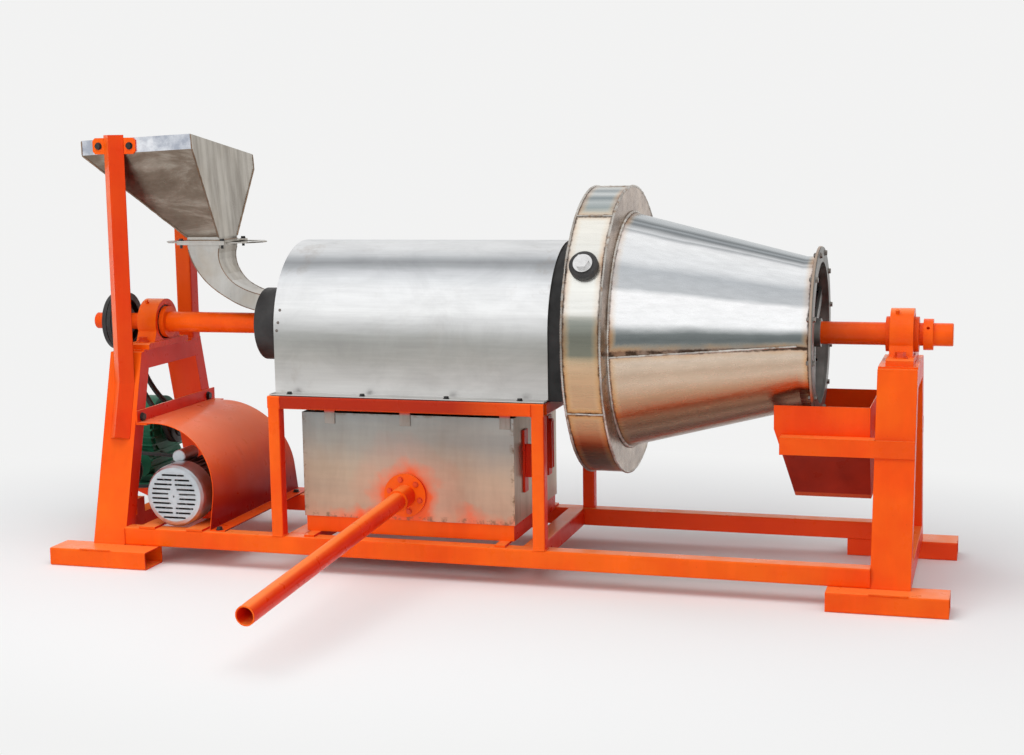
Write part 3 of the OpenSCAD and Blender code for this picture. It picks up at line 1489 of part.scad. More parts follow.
// Bolts of the frame: bearings, hood, guard, hopper, gate, air flange, motor and gearbox
module frame_bolts() {
    color("black") {
        for (x = [left_bearing_x, right_bearing_x], s = [-1, 1]) {
            translate([x, s * bearing_bolt_span / 2, stand_top_z + packer_t + 21]) hex_bolt(bolt_m16, 30 + packer_t);
        }
        for (x = hood_bolt_x, s = [-1, 1]) {
            translate([x, s * (rail_y - hood_bolt_y), hood_z + hood_wall]) hex_bolt(bolt_m8, 18);
        }
        for (y = bar_bolt_y) {
            translate([rail_x0 + bar_t, y, bar_z + bar_h / 2]) rotate([0, 90, 0]) hex_bolt(bolt_m12, 20);
        }
        for (p = guard_foot_places()) translate(p) hex_bolt(bolt_m10, 16);
        for (s = [-1, 1]) {
            translate([post_x + s * strap_bolt, post_y, strap_z]) rotate([90, 0, 0]) hex_bolt(bolt_m10, 12);
        }
        for (p = gate_bolt_places()) translate(p) hex_bolt(bolt_m8, 22);
        on_air_bolts() hex_bolt(bolt_m8, 20);
        for (p = motor_foot_places()) translate(p) hex_bolt(bolt_m10, 24);
        for (p = gear_foot_places()) translate(p) hex_bolt(bolt_m12, 28);
    }
}

front_left_foot();
back_left_foot();
front_right_foot();
back_right_foot();
front_rail();
back_rail();
lower_cross_members();
left_stand();
right_stand();
front_cage_frame();
back_cage_frame();
upper_cross_members();
front_hopper_post();
rear_hopper_post();
hopper_bracket();
hopper();
feed_gate();
feed_chute();
left_bearing_housing();
right_bearing_housing();
bearing_inner_rings();
main_shaft();
shaft_collar();
drive_pulley();
drum();
drum_flights();
drum_spokes();
sand_ring();
plug_boss();
sand_plug();
outlet_cone();
sieve_cone();
outlet_flange();
outlet_spokes();
outlet_bolts();
drive_belt();
output_pulley();
gearbox_housing();
gearbox_output_shaft();
gearbox_bracket();
worm_shaft();
input_pulley();
input_belt();
motor_pulley();
motor_rotor();
motor_housing();
fan_cover();
capacitor();
motor_base();
belt_guard();
guard_bar();
hood();
drum_jacket();
furnace_box();
furnace_base();
furnace_brackets();
air_pipe();
trough_angles();
discharge_trough();
frame_bolts();
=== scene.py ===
import math

import bpy
import numpy as np
from mathutils import Matrix, Vector


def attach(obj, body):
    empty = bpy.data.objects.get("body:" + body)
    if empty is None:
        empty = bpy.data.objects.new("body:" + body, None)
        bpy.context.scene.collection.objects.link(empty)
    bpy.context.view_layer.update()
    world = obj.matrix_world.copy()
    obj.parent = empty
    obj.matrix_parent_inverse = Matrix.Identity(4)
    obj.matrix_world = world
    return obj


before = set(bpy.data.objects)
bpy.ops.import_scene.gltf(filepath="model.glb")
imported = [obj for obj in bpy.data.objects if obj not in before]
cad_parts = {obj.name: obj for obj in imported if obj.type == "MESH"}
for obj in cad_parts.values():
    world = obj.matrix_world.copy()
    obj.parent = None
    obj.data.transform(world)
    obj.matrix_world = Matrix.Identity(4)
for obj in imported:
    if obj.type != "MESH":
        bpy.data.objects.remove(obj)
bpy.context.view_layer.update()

# Camera
# The picture was taken from the right of the middle, a little above the drum, with a slightly tilted camera.
# Its angles, place and focal length come from the straight frame edges and the round faces of the drum.
turn, dip, roll = math.radians(16.645), math.radians(7.908), math.radians(-0.871)
camera_place = Vector((1.361291, -4.452214, 1.164280))
photo_width, focal_pixels = 1024, 1677.061
across = Vector((math.cos(turn), math.sin(turn), 0))
ahead = Vector((-math.sin(turn) * math.cos(dip), math.cos(turn) * math.cos(dip), -math.sin(dip)))
upward = across.cross(ahead)
right = math.cos(roll) * across + math.sin(roll) * upward
top = math.cos(roll) * upward - math.sin(roll) * across
camera_data = bpy.data.cameras.new("camera")
camera_data.sensor_fit = "HORIZONTAL"
camera_data.sensor_width = 36.0
camera_data.lens = camera_data.sensor_width * focal_pixels / photo_width
camera = bpy.data.objects.new("camera", camera_data)
bpy.context.scene.collection.objects.link(camera)
camera.matrix_world = Matrix((
    (right.x, top.x, -ahead.x, camera_place.x),
    (right.y, top.y, -ahead.y, camera_place.y),
    (right.z, top.z, -ahead.z, camera_place.z),
    (0, 0, 0, 1),
))
bpy.context.scene.camera = camera
bpy.context.scene.view_settings.view_transform = "Standard"

# Studio floor and light
# A pale floor fades into a pale backdrop. Two large soft boxes light the machine from above and from the
# front, a weak one from the right. Reflections show no lamp, only plain surroundings just above white.


def grid_mesh(name, points, wrap_u=False, wrap_v=False, smooth=True):
    """Mesh of a surface p(u, v) given on a grid of shape (U, V, 3); wrap_u and wrap_v close it."""
    rows, cols = points.shape[:2]
    index = np.arange(rows * cols).reshape(rows, cols)
    if wrap_u:
        index = np.vstack([index, index[:1]])
    if wrap_v:
        index = np.hstack([index, index[:, :1]])
    quads = np.stack([index[:-1, :-1], index[1:, :-1], index[1:, 1:], index[:-1, 1:]], axis=-1).reshape(-1, 4)
    mesh = bpy.data.meshes.new(name)
    mesh.vertices.add(rows * cols)
    mesh.vertices.foreach_set("co", points.reshape(-1).astype(np.float32))
    mesh.loops.add(quads.size)
    mesh.loops.foreach_set("vertex_index", quads.reshape(-1).astype(np.int32))
    mesh.polygons.add(len(quads))
    mesh.polygons.foreach_set("loop_start", np.arange(0, quads.size, 4, dtype=np.int32))
    mesh.polygons.foreach_set("loop_total", np.full(len(quads), 4, dtype=np.int32))
    mesh.polygons.foreach_set("use_smooth", np.full(len(quads), smooth))
    mesh.update(calc_edges=True)
    mesh.validate()
    made = bpy.data.objects.new(name, mesh)
    bpy.context.scene.collection.objects.link(made)
    return made


floor_half = 40.0
corners = np.array([[[-1, -1, 0], [-1, 1, 0]], [[1, -1, 0], [1, 1, 0]]]) * (floor_half, floor_half, 1.0)
floor = grid_mesh("floor", corners[:, ::-1])

backdrop_colour = (0.890, 0.890, 0.887, 1)
floor_colour = (0.88, 0.88, 0.875, 1)
fade_start, fade_end = 0.75, 1.75


def background_rays(tree):
    """1 for rays of the camera, of reflections and of glass, 0 for the light that falls on the machine."""
    seen = tree.nodes.new("ShaderNodeLightPath")
    total = seen.outputs["Is Camera Ray"]
    for name in ("Is Glossy Ray", "Is Transmission Ray"):
        both = tree.nodes.new("ShaderNodeMath")
        both.operation = "MAXIMUM"
        tree.links.new(total, both.inputs[0])
        tree.links.new(seen.outputs[name], both.inputs[1])
        total = both.outputs[0]
    return total


floor_mat = bpy.data.materials.new("floor")
floor_mat.use_nodes = True
floor_tree = floor_mat.node_tree
floor_bsdf = floor_tree.nodes["Principled BSDF"]
floor_bsdf.inputs["Base Color"].default_value = floor_colour
floor_bsdf.inputs["Roughness"].default_value = 0.9
floor_bsdf.inputs["Specular IOR Level"].default_value = 0.0
glow = floor_tree.nodes.new("ShaderNodeEmission")
glow.inputs["Color"].default_value = backdrop_colour
floor_place = floor_tree.nodes.new("ShaderNodeTexCoord")
floor_scale = floor_tree.nodes.new("ShaderNodeMapping")
floor_scale.inputs["Scale"].default_value = (0.62, 1.0, 1.0)
floor_far = floor_tree.nodes.new("ShaderNodeVectorMath")
floor_far.operation = "LENGTH"
floor_fade = floor_tree.nodes.new("ShaderNodeMapRange")
floor_fade.interpolation_type = "SMOOTHSTEP"
floor_fade.inputs["From Min"].default_value = fade_start
floor_fade.inputs["From Max"].default_value = fade_end
floor_only = floor_tree.nodes.new("ShaderNodeMath")
floor_only.operation = "MULTIPLY"
floor_mix = floor_tree.nodes.new("ShaderNodeMixShader")
floor_tree.links.new(floor_place.outputs["Object"], floor_scale.inputs["Vector"])
floor_tree.links.new(floor_scale.outputs[0], floor_far.inputs[0])
floor_tree.links.new(floor_far.outputs["Value"], floor_fade.inputs["Value"])
floor_tree.links.new(floor_fade.outputs["Result"], floor_only.inputs[0])
floor_tree.links.new(background_rays(floor_tree), floor_only.inputs[1])
floor_tree.links.new(floor_only.outputs[0], floor_mix.inputs[0])
floor_tree.links.new(floor_bsdf.outputs[0], floor_mix.inputs[1])
floor_tree.links.new(glow.outputs[0], floor_mix.inputs[2])
floor_tree.links.new(floor_mix.outputs[0], floor_tree.nodes["Material Output"].inputs["Surface"])
floor.data.materials.append(floor_mat)

sky_strength, mirrored_strength = 0.50, 1.03
world = bpy.data.worlds.new("studio")
world.use_nodes = True
bpy.context.scene.world = world
sky = world.node_tree
plain = sky.nodes["Background"]
plain.inputs["Color"].default_value = (0.95, 0.97, 1.0, 1)
plain.inputs["Strength"].default_value = sky_strength
backdrop = sky.nodes.new("ShaderNodeBackground")
backdrop.inputs["Color"].default_value = backdrop_colour
backdrop.inputs["Strength"].default_value = 1.0
mirrored = sky.nodes.new("ShaderNodeBackground")
mirrored.inputs["Color"].default_value = (1, 1, 1, 1)
mirrored.inputs["Strength"].default_value = mirrored_strength
seen_by = sky.nodes.new("ShaderNodeLightPath")
choose = sky.nodes.new("ShaderNodeMixShader")
sky.links.new(background_rays(sky), choose.inputs[0])
sky.links.new(plain.outputs[0], choose.inputs[1])
sky.links.new(backdrop.outputs[0], choose.inputs[2])
glossy = sky.nodes.new("ShaderNodeMixShader")
sky.links.new(seen_by.outputs["Is Glossy Ray"], glossy.inputs[0])
sky.links.new(choose.outputs[0], glossy.inputs[1])
sky.links.new(mirrored.outputs[0], glossy.inputs[2])
sky.links.new(glossy.outputs[0], sky.nodes["World Output"].inputs["Surface"])


def soft_box(name, place, target, size_x, size_y, power):
    """Rectangular lamp at place that faces target and isn't seen in reflections."""
    data = bpy.data.lights.new(name, "AREA")
    data.shape = "RECTANGLE"
    data.size, data.size_y = size_x, size_y
    data.energy = power
    lamp = bpy.data.objects.new(name, data)
    bpy.context.scene.collection.objects.link(lamp)
    lamp.location = place
    lamp.rotation_euler = (Vector(target) - Vector(place)).to_track_quat("-Z", "Y").to_euler()
    lamp.visible_glossy = False


soft_box("lamp_over", (-0.4, -1.2, 4.2), (0, -0.1, 0.4), 5.5, 3.4, 118)
soft_box("lamp_front", (-2.2, -4.8, 2.2), (-0.1, 0, 0.6), 3.6, 2.4, 74)
soft_box("lamp_right", (3.6, -0.6, 2.0), (0.4, 0, 0.6), 1.2, 1.6, 5)

# Base frame: feet, rails, cross members and stands
# Mild steel square and box tube, cut square, arc welded at every joint and sprayed with orange enamel.
# Painted light makes faces that look up paler; painted shade makes right faces and rear front faces deeper
# red.


def new_material(name, roughness, metallic=0.0):
    """Material with a Principled shader whose plain sockets are set on the shader itself."""
    mat = bpy.data.materials.new(name)
    mat.use_nodes = True
    shader = mat.node_tree.nodes["Principled BSDF"]
    shader.inputs["Roughness"].default_value = roughness
    shader.inputs["Metallic"].default_value = metallic
    return mat, mat.node_tree, shader


def noise(tree, scale, stretch=(1, 1, 1), detail=4.0, rough=0.55, shift=(0, 0, 0), distort=0.0):
    """Noise from 0 to 1 on Object coordinates, stretched along the axes by Mapping's scale."""
    where = tree.nodes.new("ShaderNodeTexCoord")
    mapping = tree.nodes.new("ShaderNodeMapping")
    mapping.inputs["Scale"].default_value = stretch
    mapping.inputs["Location"].default_value = shift
    tex = tree.nodes.new("ShaderNodeTexNoise")
    tex.inputs["Scale"].default_value = scale
    tex.inputs["Detail"].default_value = detail
    tex.inputs["Roughness"].default_value = rough
    tex.inputs["Distortion"].default_value = distort
    tree.links.new(where.outputs["Object"], mapping.inputs["Vector"])
    tree.links.new(mapping.outputs[0], tex.inputs["Vector"])
    return tex.outputs["Fac"]


def ramp(tree, fac, *stops):
    """Colour ramp over (place, colour) stops; a number stands for a grey."""
    node = tree.nodes.new("ShaderNodeValToRGB")
    band = node.color_ramp
    while len(band.elements) < len(stops):
        band.elements.new(0.5)
    for element, (place, colour) in zip(band.elements, stops):
        element.position = place
        element.color = (*((colour,) * 3 if isinstance(colour, (int, float)) else colour), 1)
    tree.links.new(fac, node.inputs["Fac"])
    return node.outputs["Color"]


def mix(tree, fac, a, b, blend="MIX"):
    """Mix of two colours, each a socket or a tuple, by a socket or a number."""
    node = tree.nodes.new("ShaderNodeMix")
    node.data_type = "RGBA"
    node.blend_type = blend
    for socket, value in ((node.inputs["Factor"], fac), (node.inputs["A"], a), (node.inputs["B"], b)):
        pick = socket
        if socket.name in "AB":
            pick = [s for s in node.inputs if s.name == socket.name and s.type == "RGBA"][0]
        if isinstance(value, bpy.types.NodeSocket):
            tree.links.new(value, pick)
        else:
            pick.default_value = (*value, 1) if isinstance(value, tuple) else value
    return [s for s in node.outputs if s.type == "RGBA"][0]


def darken(tree, tone, by):
    """Tone times a second tone that runs from dark to 1."""
    return mix(tree, 1.0, tone, by, "MULTIPLY")


def work(tree, operation, a, b=0.0):
    """Result of a Math node on two sockets or numbers."""
    node = tree.nodes.new("ShaderNodeMath")
    node.operation = operation
    for socket, value in zip(node.inputs, (a, b)):
        if isinstance(value, bpy.types.NodeSocket):
            tree.links.new(value, socket)
        else:
            socket.default_value = value
    return node.outputs[0]


def times(tree, product, *factors):
    """Product of sockets and numbers."""
    for factor in factors:
        product = work(tree, "MULTIPLY", product, factor)
    return product


def shade(red, green, blue):
    """Linear colour of a display colour given from 0 to 255."""
    parts = [c / 255 for c in (red, green, blue)]
    return tuple(c / 12.92 if c < 0.0404 else ((c + 0.055) / 1.055) ** 2.4 for c in parts)


def bump(tree, shader, height, strength, distance, edge=0.0):
    """Relief from a height socket; edge rounds sharp corners by that radius in metres."""
    node = tree.nodes.new("ShaderNodeBump")
    node.inputs["Strength"].default_value = strength
    node.inputs["Distance"].default_value = distance
    tree.links.new(height, node.inputs["Height"])
    if edge:
        corner = tree.nodes.new("ShaderNodeBevel")
        corner.samples = 4
        corner.inputs["Radius"].default_value = edge
        tree.links.new(corner.outputs[0], node.inputs["Normal"])
    tree.links.new(node.outputs[0], shader.inputs["Normal"])


def along(tree, axis, kind="Object"):
    """Object coordinate along X, Y or Z in metres; with kind Normal that part of the surface normal."""
    where = tree.nodes.new("ShaderNodeTexCoord")
    split = tree.nodes.new("ShaderNodeSeparateXYZ")
    tree.links.new(where.outputs[kind], split.inputs[0])
    return split.outputs[axis]


def span(tree, value, lo, hi):
    """Value carried linearly from lo..hi to 0..1 and held there."""
    node = tree.nodes.new("ShaderNodeMapRange")
    node.inputs["From Min"].default_value = lo
    node.inputs["From Max"].default_value = hi
    tree.links.new(value, node.inputs["Value"])
    return node.outputs["Result"]


def facing(tree, axis, lo, hi):
    """Part of the surface normal along an axis, carried from lo..hi to 0..1."""
    return span(tree, along(tree, axis, "Normal"), lo, hi)


def finish(mat, *names):
    """Gives a material to CAD nodes."""
    for name in names:
        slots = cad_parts[name].data.materials
        slots.clear()
        slots.append(mat)


def enamel(name, light, deep, gloss=0.30, painted_light=0.0):
    """Sprayed enamel: broad tone changes, runs, specks and orange peel.

    painted_light: how much painted light pales tops, and painted shade deepens right and rear front faces.
    """
    mat, tree, shader = new_material(name, gloss)
    tone = ramp(tree, noise(tree, 3.5, (1, 1, 1), 5, 0.6), (0.32, deep), (0.62, light))
    tone = darken(tree, tone, ramp(tree, noise(tree, 14, (1, 1, 0.12), 4, 0.6), (0.45, 0.93), (0.65, 1.0)))
    specks = ramp(tree, noise(tree, 160, detail=2), (0.74, 0.0), (0.80, 0.6))
    tone = mix(tree, specks, tone, tuple(0.55 * c for c in deep))
    # Painted light: faces that look up turn paler.
    top = times(tree, facing(tree, "Z", 0.80, 0.96), painted_light)
    tone = mix(tree, top, tone, shade(255, 134, 62))
    # Painted shade: front faces of rear parts turn redder.
    rear = times(tree, span(tree, along(tree, "Y"), 0.14, 0.24), painted_light * 0.8, facing(tree, "Y", -0.45, -0.90))
    tone = mix(tree, rear, tone, shade(255, 70, 36))
    # Painted shade: faces to the right turn a deeper red.
    right_side = times(tree, facing(tree, "X", 0.45, 0.90), painted_light)
    tone = mix(tree, right_side, tone, (0.80, 0.10, 1.0), "MULTIPLY")
    tree.links.new(tone, shader.inputs["Base Color"])
    worn = ramp(tree, noise(tree, 22, detail=6), (0.3, gloss - 0.06), (0.75, gloss + 0.16))
    tree.links.new(worn, shader.inputs["Roughness"])
    shader.inputs["Specular IOR Level"].default_value = 0.12
    shader.inputs["Coat Weight"].default_value = 0.06
    shader.inputs["Coat Roughness"].default_value = 0.08
    bump(tree, shader, noise(tree, 260, detail=2), 0.10, 0.0006, edge=0.0022)
    return mat


fresh_orange, deep_orange = shade(254, 103, 17), shade(246, 80, 11)
# The frame's enamel carries painted light on its tops and painted shade on its right and rear faces.
orange = enamel("orange_enamel", fresh_orange, deep_orange, painted_light=0.85)
finish(orange, "front_left_foot", "back_left_foot", "front_right_foot", "back_right_foot", "front_rail",
       "back_rail", "lower_cross_members", "left_stand", "right_stand")

# Welds of the frame
# Fillet beads where feet, rails, stands and cage meet, laid by hand, hardly ground, sprayed with the frame.
# Only the joints that show from the front carry one.


def tube_mesh(name, path, out, radius, closed=False, sides=8):
    """Tube p(s, t) = c(s) + r(s) (cos t n(s) + sin t b(s)), n being out made square to the path."""
    ahead_of = np.roll(path, -1, 0) - np.roll(path, 1, 0)
    if not closed:
        ahead_of[0], ahead_of[-1] = path[1] - path[0], path[-1] - path[-2]
    tangent = ahead_of / np.linalg.norm(ahead_of, axis=1, keepdims=True)
    normal = out - (out * tangent).sum(1, keepdims=True) * tangent
    normal /= np.linalg.norm(normal, axis=1, keepdims=True)
    side = np.cross(tangent, normal)
    t = np.linspace(0, 2 * math.pi, sides, endpoint=False)[None, :, None]
    r = np.broadcast_to(radius, len(path))[:, None, None]
    ring = np.cos(t) * normal[:, None] + np.sin(t) * side[:, None]
    points = path[:, None] + r * ring
    if not closed:
        points = np.concatenate([path[:1, None] + 0 * points[:1], points, path[-1:, None] + 0 * points[-1:]])
    return grid_mesh(name, points[:, ::-1], closed, True)


def ripple(count, per, size, seed, rough=0.18):
    """Bead radius r(s): overlapping ripples |sin| every few points, with an uneven hand."""
    step = np.arange(count)
    hand = np.random.default_rng(seed).normal(0, 1, count)
    hand = np.convolve(hand, np.ones(9) / 9, "same") * 3
    return size * (0.86 + 0.26 * np.abs(np.sin(math.pi * step / per)) + rough * hand * 0.35)


def line_bead(name, start, end, out, size, seed, pitch=0.0022):
    """Weld bead on a straight seam from start to end, out being the way off the sheet."""
    start, end = np.array(start, float), np.array(end, float)
    count = max(8, int(np.linalg.norm(end - start) / pitch * 3))
    path = start + (end - start) * np.linspace(0, 1, count)[:, None]
    wander = np.random.default_rng(seed).normal(0, 1, count + 24)
    wander = np.convolve(wander, np.ones(25) / 25, "valid")[:count]
    across_path = np.cross(end - start, out)
    path = path + (wander * 0.0012)[:, None] * (across_path / np.linalg.norm(across_path))
    radius = ripple(count, 3, size, seed)
    radius[:3] *= (0.4, 0.7, 0.9)
    radius[-3:] *= (0.9, 0.7, 0.4)
    return tube_mesh(name, path, np.broadcast_to(np.array(out, float), path.shape), radius)


def join(name, parts, body, mat):
    """Several finished meshes as one piece on a body."""
    meshes = [part.data for part in parts]
    whole = parts[0]
    chosen = dict(active_object=whole, selected_editable_objects=parts, selected_objects=parts)
    with bpy.context.temp_override(**chosen):
        bpy.ops.object.join()
    whole.name = name
    whole.data.name = name
    whole.data.materials.clear()
    whole.data.materials.append(mat)
    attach(whole, body)
    for mesh in meshes:
        if mesh.users == 0:
            bpy.data.meshes.remove(mesh)
    return whole


bead_radius, first_seed = 0.0020, 200
frame_seams = (
    ((-1.142, -0.3705, 0.0512), (-1.044, -0.3705, 0.0512), (0, -0.6, 0.8)),
    ((1.043, -0.3505, 0.0512), (1.141, -0.3505, 0.0512), (0, -0.6, 0.8)),
    ((-1.0425, -0.2905, 0.052), (-1.0425, -0.2905, 0.098), (0.3, -1, 0)),
    ((1.0415, -0.2905, 0.052), (1.0415, -0.2905, 0.098), (-0.3, -1, 0)),
    ((-0.584, -0.2905, 0.1006), (-0.551, -0.2905, 0.1006), (0, -0.6, 0.8)),
    ((-0.5495, -0.289, 0.1006), (-0.5495, -0.256, 0.1006), (0.6, 0, 0.8)),
    ((0.167, -0.2905, 0.1006), (0.200, -0.2905, 0.1006), (0, -0.6, 0.8)),
    ((0.2015, -0.289, 0.1006), (0.2015, -0.256, 0.1006), (0.6, 0, 0.8)),
    ((-0.5495, -0.2905, 0.4565), (-0.5495, -0.2905, 0.4910), (0, -1, 0)),
    ((0.1655, -0.2905, 0.4565), (0.1655, -0.2905, 0.4910), (0, -1, 0)),
)
frame_beads = []
for seed, (start, end, out) in enumerate(frame_seams):
    frame_beads.append(line_bead("bead", start, end, out, bead_radius, first_seed + seed))
join("frame_welds", frame_beads, "frame", orange)

# Furnace cage
# Square tube posts and rails, welded on the long rails and painted with them.
# The upper front rail lies in the hood's shade, painted on as a darker tone over the furnace.


def painted(mat):
    """Tree, shader and colour socket of a finished material, for a second coat over it."""
    shader = mat.node_tree.nodes["Principled BSDF"]
    return mat.node_tree, shader, shader.inputs["Base Color"].links[0].from_socket


# The cage's enamel also carries painted light on its tops and painted shade on its right and rear faces.
cage_paint = enamel("cage_paint", fresh_orange, deep_orange, painted_light=0.85)
tree, shader, sprayed = painted(cage_paint)
# Painted shade: the hood's shade darkens the upper front rail over the furnace.
painted_hood_shade = times(tree, span(tree, along(tree, "Z"), 0.452, 0.462), span(tree, along(tree, "X"), 0.16, -0.05),
                 span(tree, along(tree, "X"), -0.553, -0.547), 0.9)
tree.links.new(mix(tree, painted_hood_shade, sprayed, shade(160, 30, 14)), shader.inputs["Base Color"])
finish(cage_paint, "front_cage_frame", "back_cage_frame", "upper_cross_members")

# Hopper posts and bracket
# Angle iron turned ridge outwards at the front, square tube on a small base plate at the back.
# A strap ties the front post to the band of the hopper. All wear the enamel of the frame.
finish(orange, "front_hopper_post", "rear_hopper_post", "hopper_bracket")

# Hopper, feed gate and chute
# Folded stainless sheet, seams welded and ground. Faces that look down get a darker brown of painted shade,
# right faces are darker as painted shade with drip streaks, and the band round the rim is bright and mottled
# at the front.


def stainless(name, light, dark, rough, streak=(1, 1, 1), streak_scale=40.0, tint=None, tint_scale=6.0,
              edge=0.0012):
    """Ground stainless sheet: fine streaks along one direction, cloudy tone and patches of heat tint."""
    mat, tree, shader = new_material(name, rough, 1.0)
    cloud = noise(tree, 5.0, detail=6, rough=0.62, distort=0.4)
    tone = ramp(tree, cloud, (0.30, dark), (0.66, light))
    fine = noise(tree, streak_scale, streak, 5, 0.65)
    tone = darken(tree, tone, ramp(tree, fine, (0.30, 0.82), (0.72, 1.0)))
    if tint:
        patch = ramp(tree, noise(tree, tint_scale, detail=5, shift=(3, 1, 2)), (0.50, 0.0), (0.68, 0.75))
        tone = mix(tree, patch, tone, tint)
    tree.links.new(tone, shader.inputs["Base Color"])
    tree.links.new(ramp(tree, fine, (0.25, rough - 0.10), (0.75, rough + 0.14)), shader.inputs["Roughness"])
    bump(tree, shader, mix(tree, 0.6, fine, noise(tree, 9.0, detail=3)), 0.10, 0.0015, edge=edge)
    return mat


hopper_sheet = stainless("hopper_sheet", (0.66, 0.65, 0.62), (0.40, 0.37, 0.33), 0.34, (1, 1, 0.15), 60,
                         (0.50, 0.43, 0.34), edge=0.0008)
tree, shader, bright = painted(hopper_sheet)
# Painted shade: faces that look down turn a darker brown.
underside_shade = ramp(tree, noise(tree, 8.0, (0.5, 1, 1.5), 7, 0.68, distort=0.6),
            (0.32, shade(100, 86, 74)), (0.52, shade(132, 118, 105)), (0.68, shade(176, 166, 154)))
tone = mix(tree, facing(tree, "Z", -0.12, -0.34), bright, underside_shade)
# Painted shade on right faces, with vertical streaks like drips.
drips_and_shade = ramp(tree, noise(tree, 26, (1, 1, 0.10), 5, 0.6),
             (0.34, shade(122, 113, 101)), (0.60, shade(172, 165, 154)))
tone = mix(tree, times(tree, facing(tree, "X", 0.55, 0.85), 0.75), tone, drips_and_shade)
rim_band = times(tree, facing(tree, "Y", -0.90, -0.97), span(tree, along(tree, "Z"), 1.10, 1.11),
                 facing(tree, "Z", -0.20, -0.08))
mottled = ramp(tree, noise(tree, 16, detail=6, rough=0.65),
               (0.36, shade(176, 182, 194)), (0.60, shade(236, 239, 244)))
tree.links.new(mix(tree, rim_band, tone, mottled), shader.inputs["Base Color"])
finish(hopper_sheet, "hopper", "feed_chute", "feed_gate")


def curve_bead(name, path, out, size, seed, count=400):
    """Weld bead along a bent seam given by points, spread evenly by arc length."""
    path, out = np.array(path, float), np.array(out, float)
    reach = np.concatenate([[0], np.cumsum(np.linalg.norm(np.diff(path, axis=0), axis=1))])
    even = np.linspace(0, reach[-1], count)
    track = np.stack([np.interp(even, reach, path[:, k]) for k in range(3)], axis=1)
    away = np.stack([np.interp(even, reach, out[:, k]) for k in range(3)], axis=1)
    return tube_mesh(name, track, away, ripple(count, 3, size, seed))


hopper_left, hopper_right, hopper_front, hopper_back = -1.193, -0.849, -0.165, 0.234
rim_height, rim_rise_right, rim_rise_front, band_height = 1.208, 0.043, 0.153, 0.042
wall_right = -0.846
throat_left, throat_right, throat_half, throat_top, seam_height = -0.926, -0.826, 0.060, 0.912, 0.9035
throat_middle = (throat_left + throat_right) / 2


def rim_point(x, y, drop):
    """Point on the hopper's sloping rim plane, let down by drop, in metres."""
    slope = (x - hopper_right) * rim_rise_right - (y - hopper_front) * rim_rise_front
    return (x, y, rim_height + slope - drop)


hopper_beads = []
hopper_corners = (
    (hopper_left, hopper_front, hopper_left, throat_left, -throat_half),
    (hopper_right, hopper_front, wall_right, throat_right, -throat_half),
    (hopper_right, hopper_back, wall_right, throat_right, throat_half),
    (hopper_left, hopper_back, hopper_left, throat_left, throat_half),
)
for seed, (x, y, x_low, x_throat, y_throat) in enumerate(hopper_corners):
    away = (math.copysign(0.7, x_throat - throat_middle), math.copysign(0.7, y), 0)
    low = rim_point(x_low, y, band_height)
    hopper_beads.append(line_bead("bead", rim_point(x, y, 0.001), low, away, 0.0018, 60 + seed))
    hopper_beads.append(line_bead("bead", low, (x_throat, y_throat, throat_top), away, 0.0026, 70 + seed))
throat_seams = (
    ((throat_left, -throat_half), (throat_right, -throat_half), (0, -1, 0.5)),
    ((throat_right, -throat_half), (throat_right, throat_half), (1, 0, 0.5)),
    ((throat_left, throat_half), (throat_right, throat_half), (0, 1, 0.5)),
    ((throat_left, -throat_half), (throat_left, throat_half), (-1, 0, 0.5)),
)
for seed, (start, end, away) in enumerate(throat_seams):
    start, end = (*start, seam_height), (*end, seam_height)
    hopper_beads.append(line_bead("bead", start, end, away, 0.0022, 80 + seed))
bend_x, bend_z, bend_long, bend_high = -0.656, 0.884, 0.220, 0.166
bend = np.radians(np.linspace(14, 88, 24))
share = np.degrees(bend) / 90
spine_x, spine_z = bend_x - bend_long * np.sin(bend), bend_z - bend_high * np.cos(bend)
normal_x, normal_z = -bend_high * np.sin(bend), -bend_long * np.cos(bend)
normal_length = np.hypot(normal_x, normal_z)
half_x = 0.024 + 0.026 * np.maximum(0, 1.8 * share - 0.8) ** 1.3
half_y = 0.040 + 0.020 * share
for seed, (edge, side) in enumerate(((1, -1), (1, 1), (-1, -1), (-1, 1))):
    out_x, out_z = edge * normal_x / normal_length, edge * normal_z / normal_length
    path = np.stack([spine_x + half_x * out_x, side * half_y, spine_z + half_x * out_z], axis=1)
    away = np.stack([out_x, side + 0 * half_y, out_z], axis=1)
    hopper_beads.append(curve_bead("bead", path, away, 0.0014, 90 + seed))
weld_brown = stainless("weld_brown", (0.44, 0.33, 0.25), (0.15, 0.10, 0.07), 0.42, (1, 1, 1), 200,
                       (0.26, 0.15, 0.08), 60, edge=0)
join("hopper_welds", hopper_beads, "frame", weld_brown)

# Pillow block bearings, shaft and collar
# Cast housings bolted on the stands and sprayed over together with the shaft, its collar and the inner rings.
# Only the line of the seal between ring and housing stays dark.
bearing_orange = enamel("bearing_enamel", shade(255, 98, 14), shade(240, 64, 10), 0.24)
finish(bearing_orange, "main_shaft", "shaft_collar")
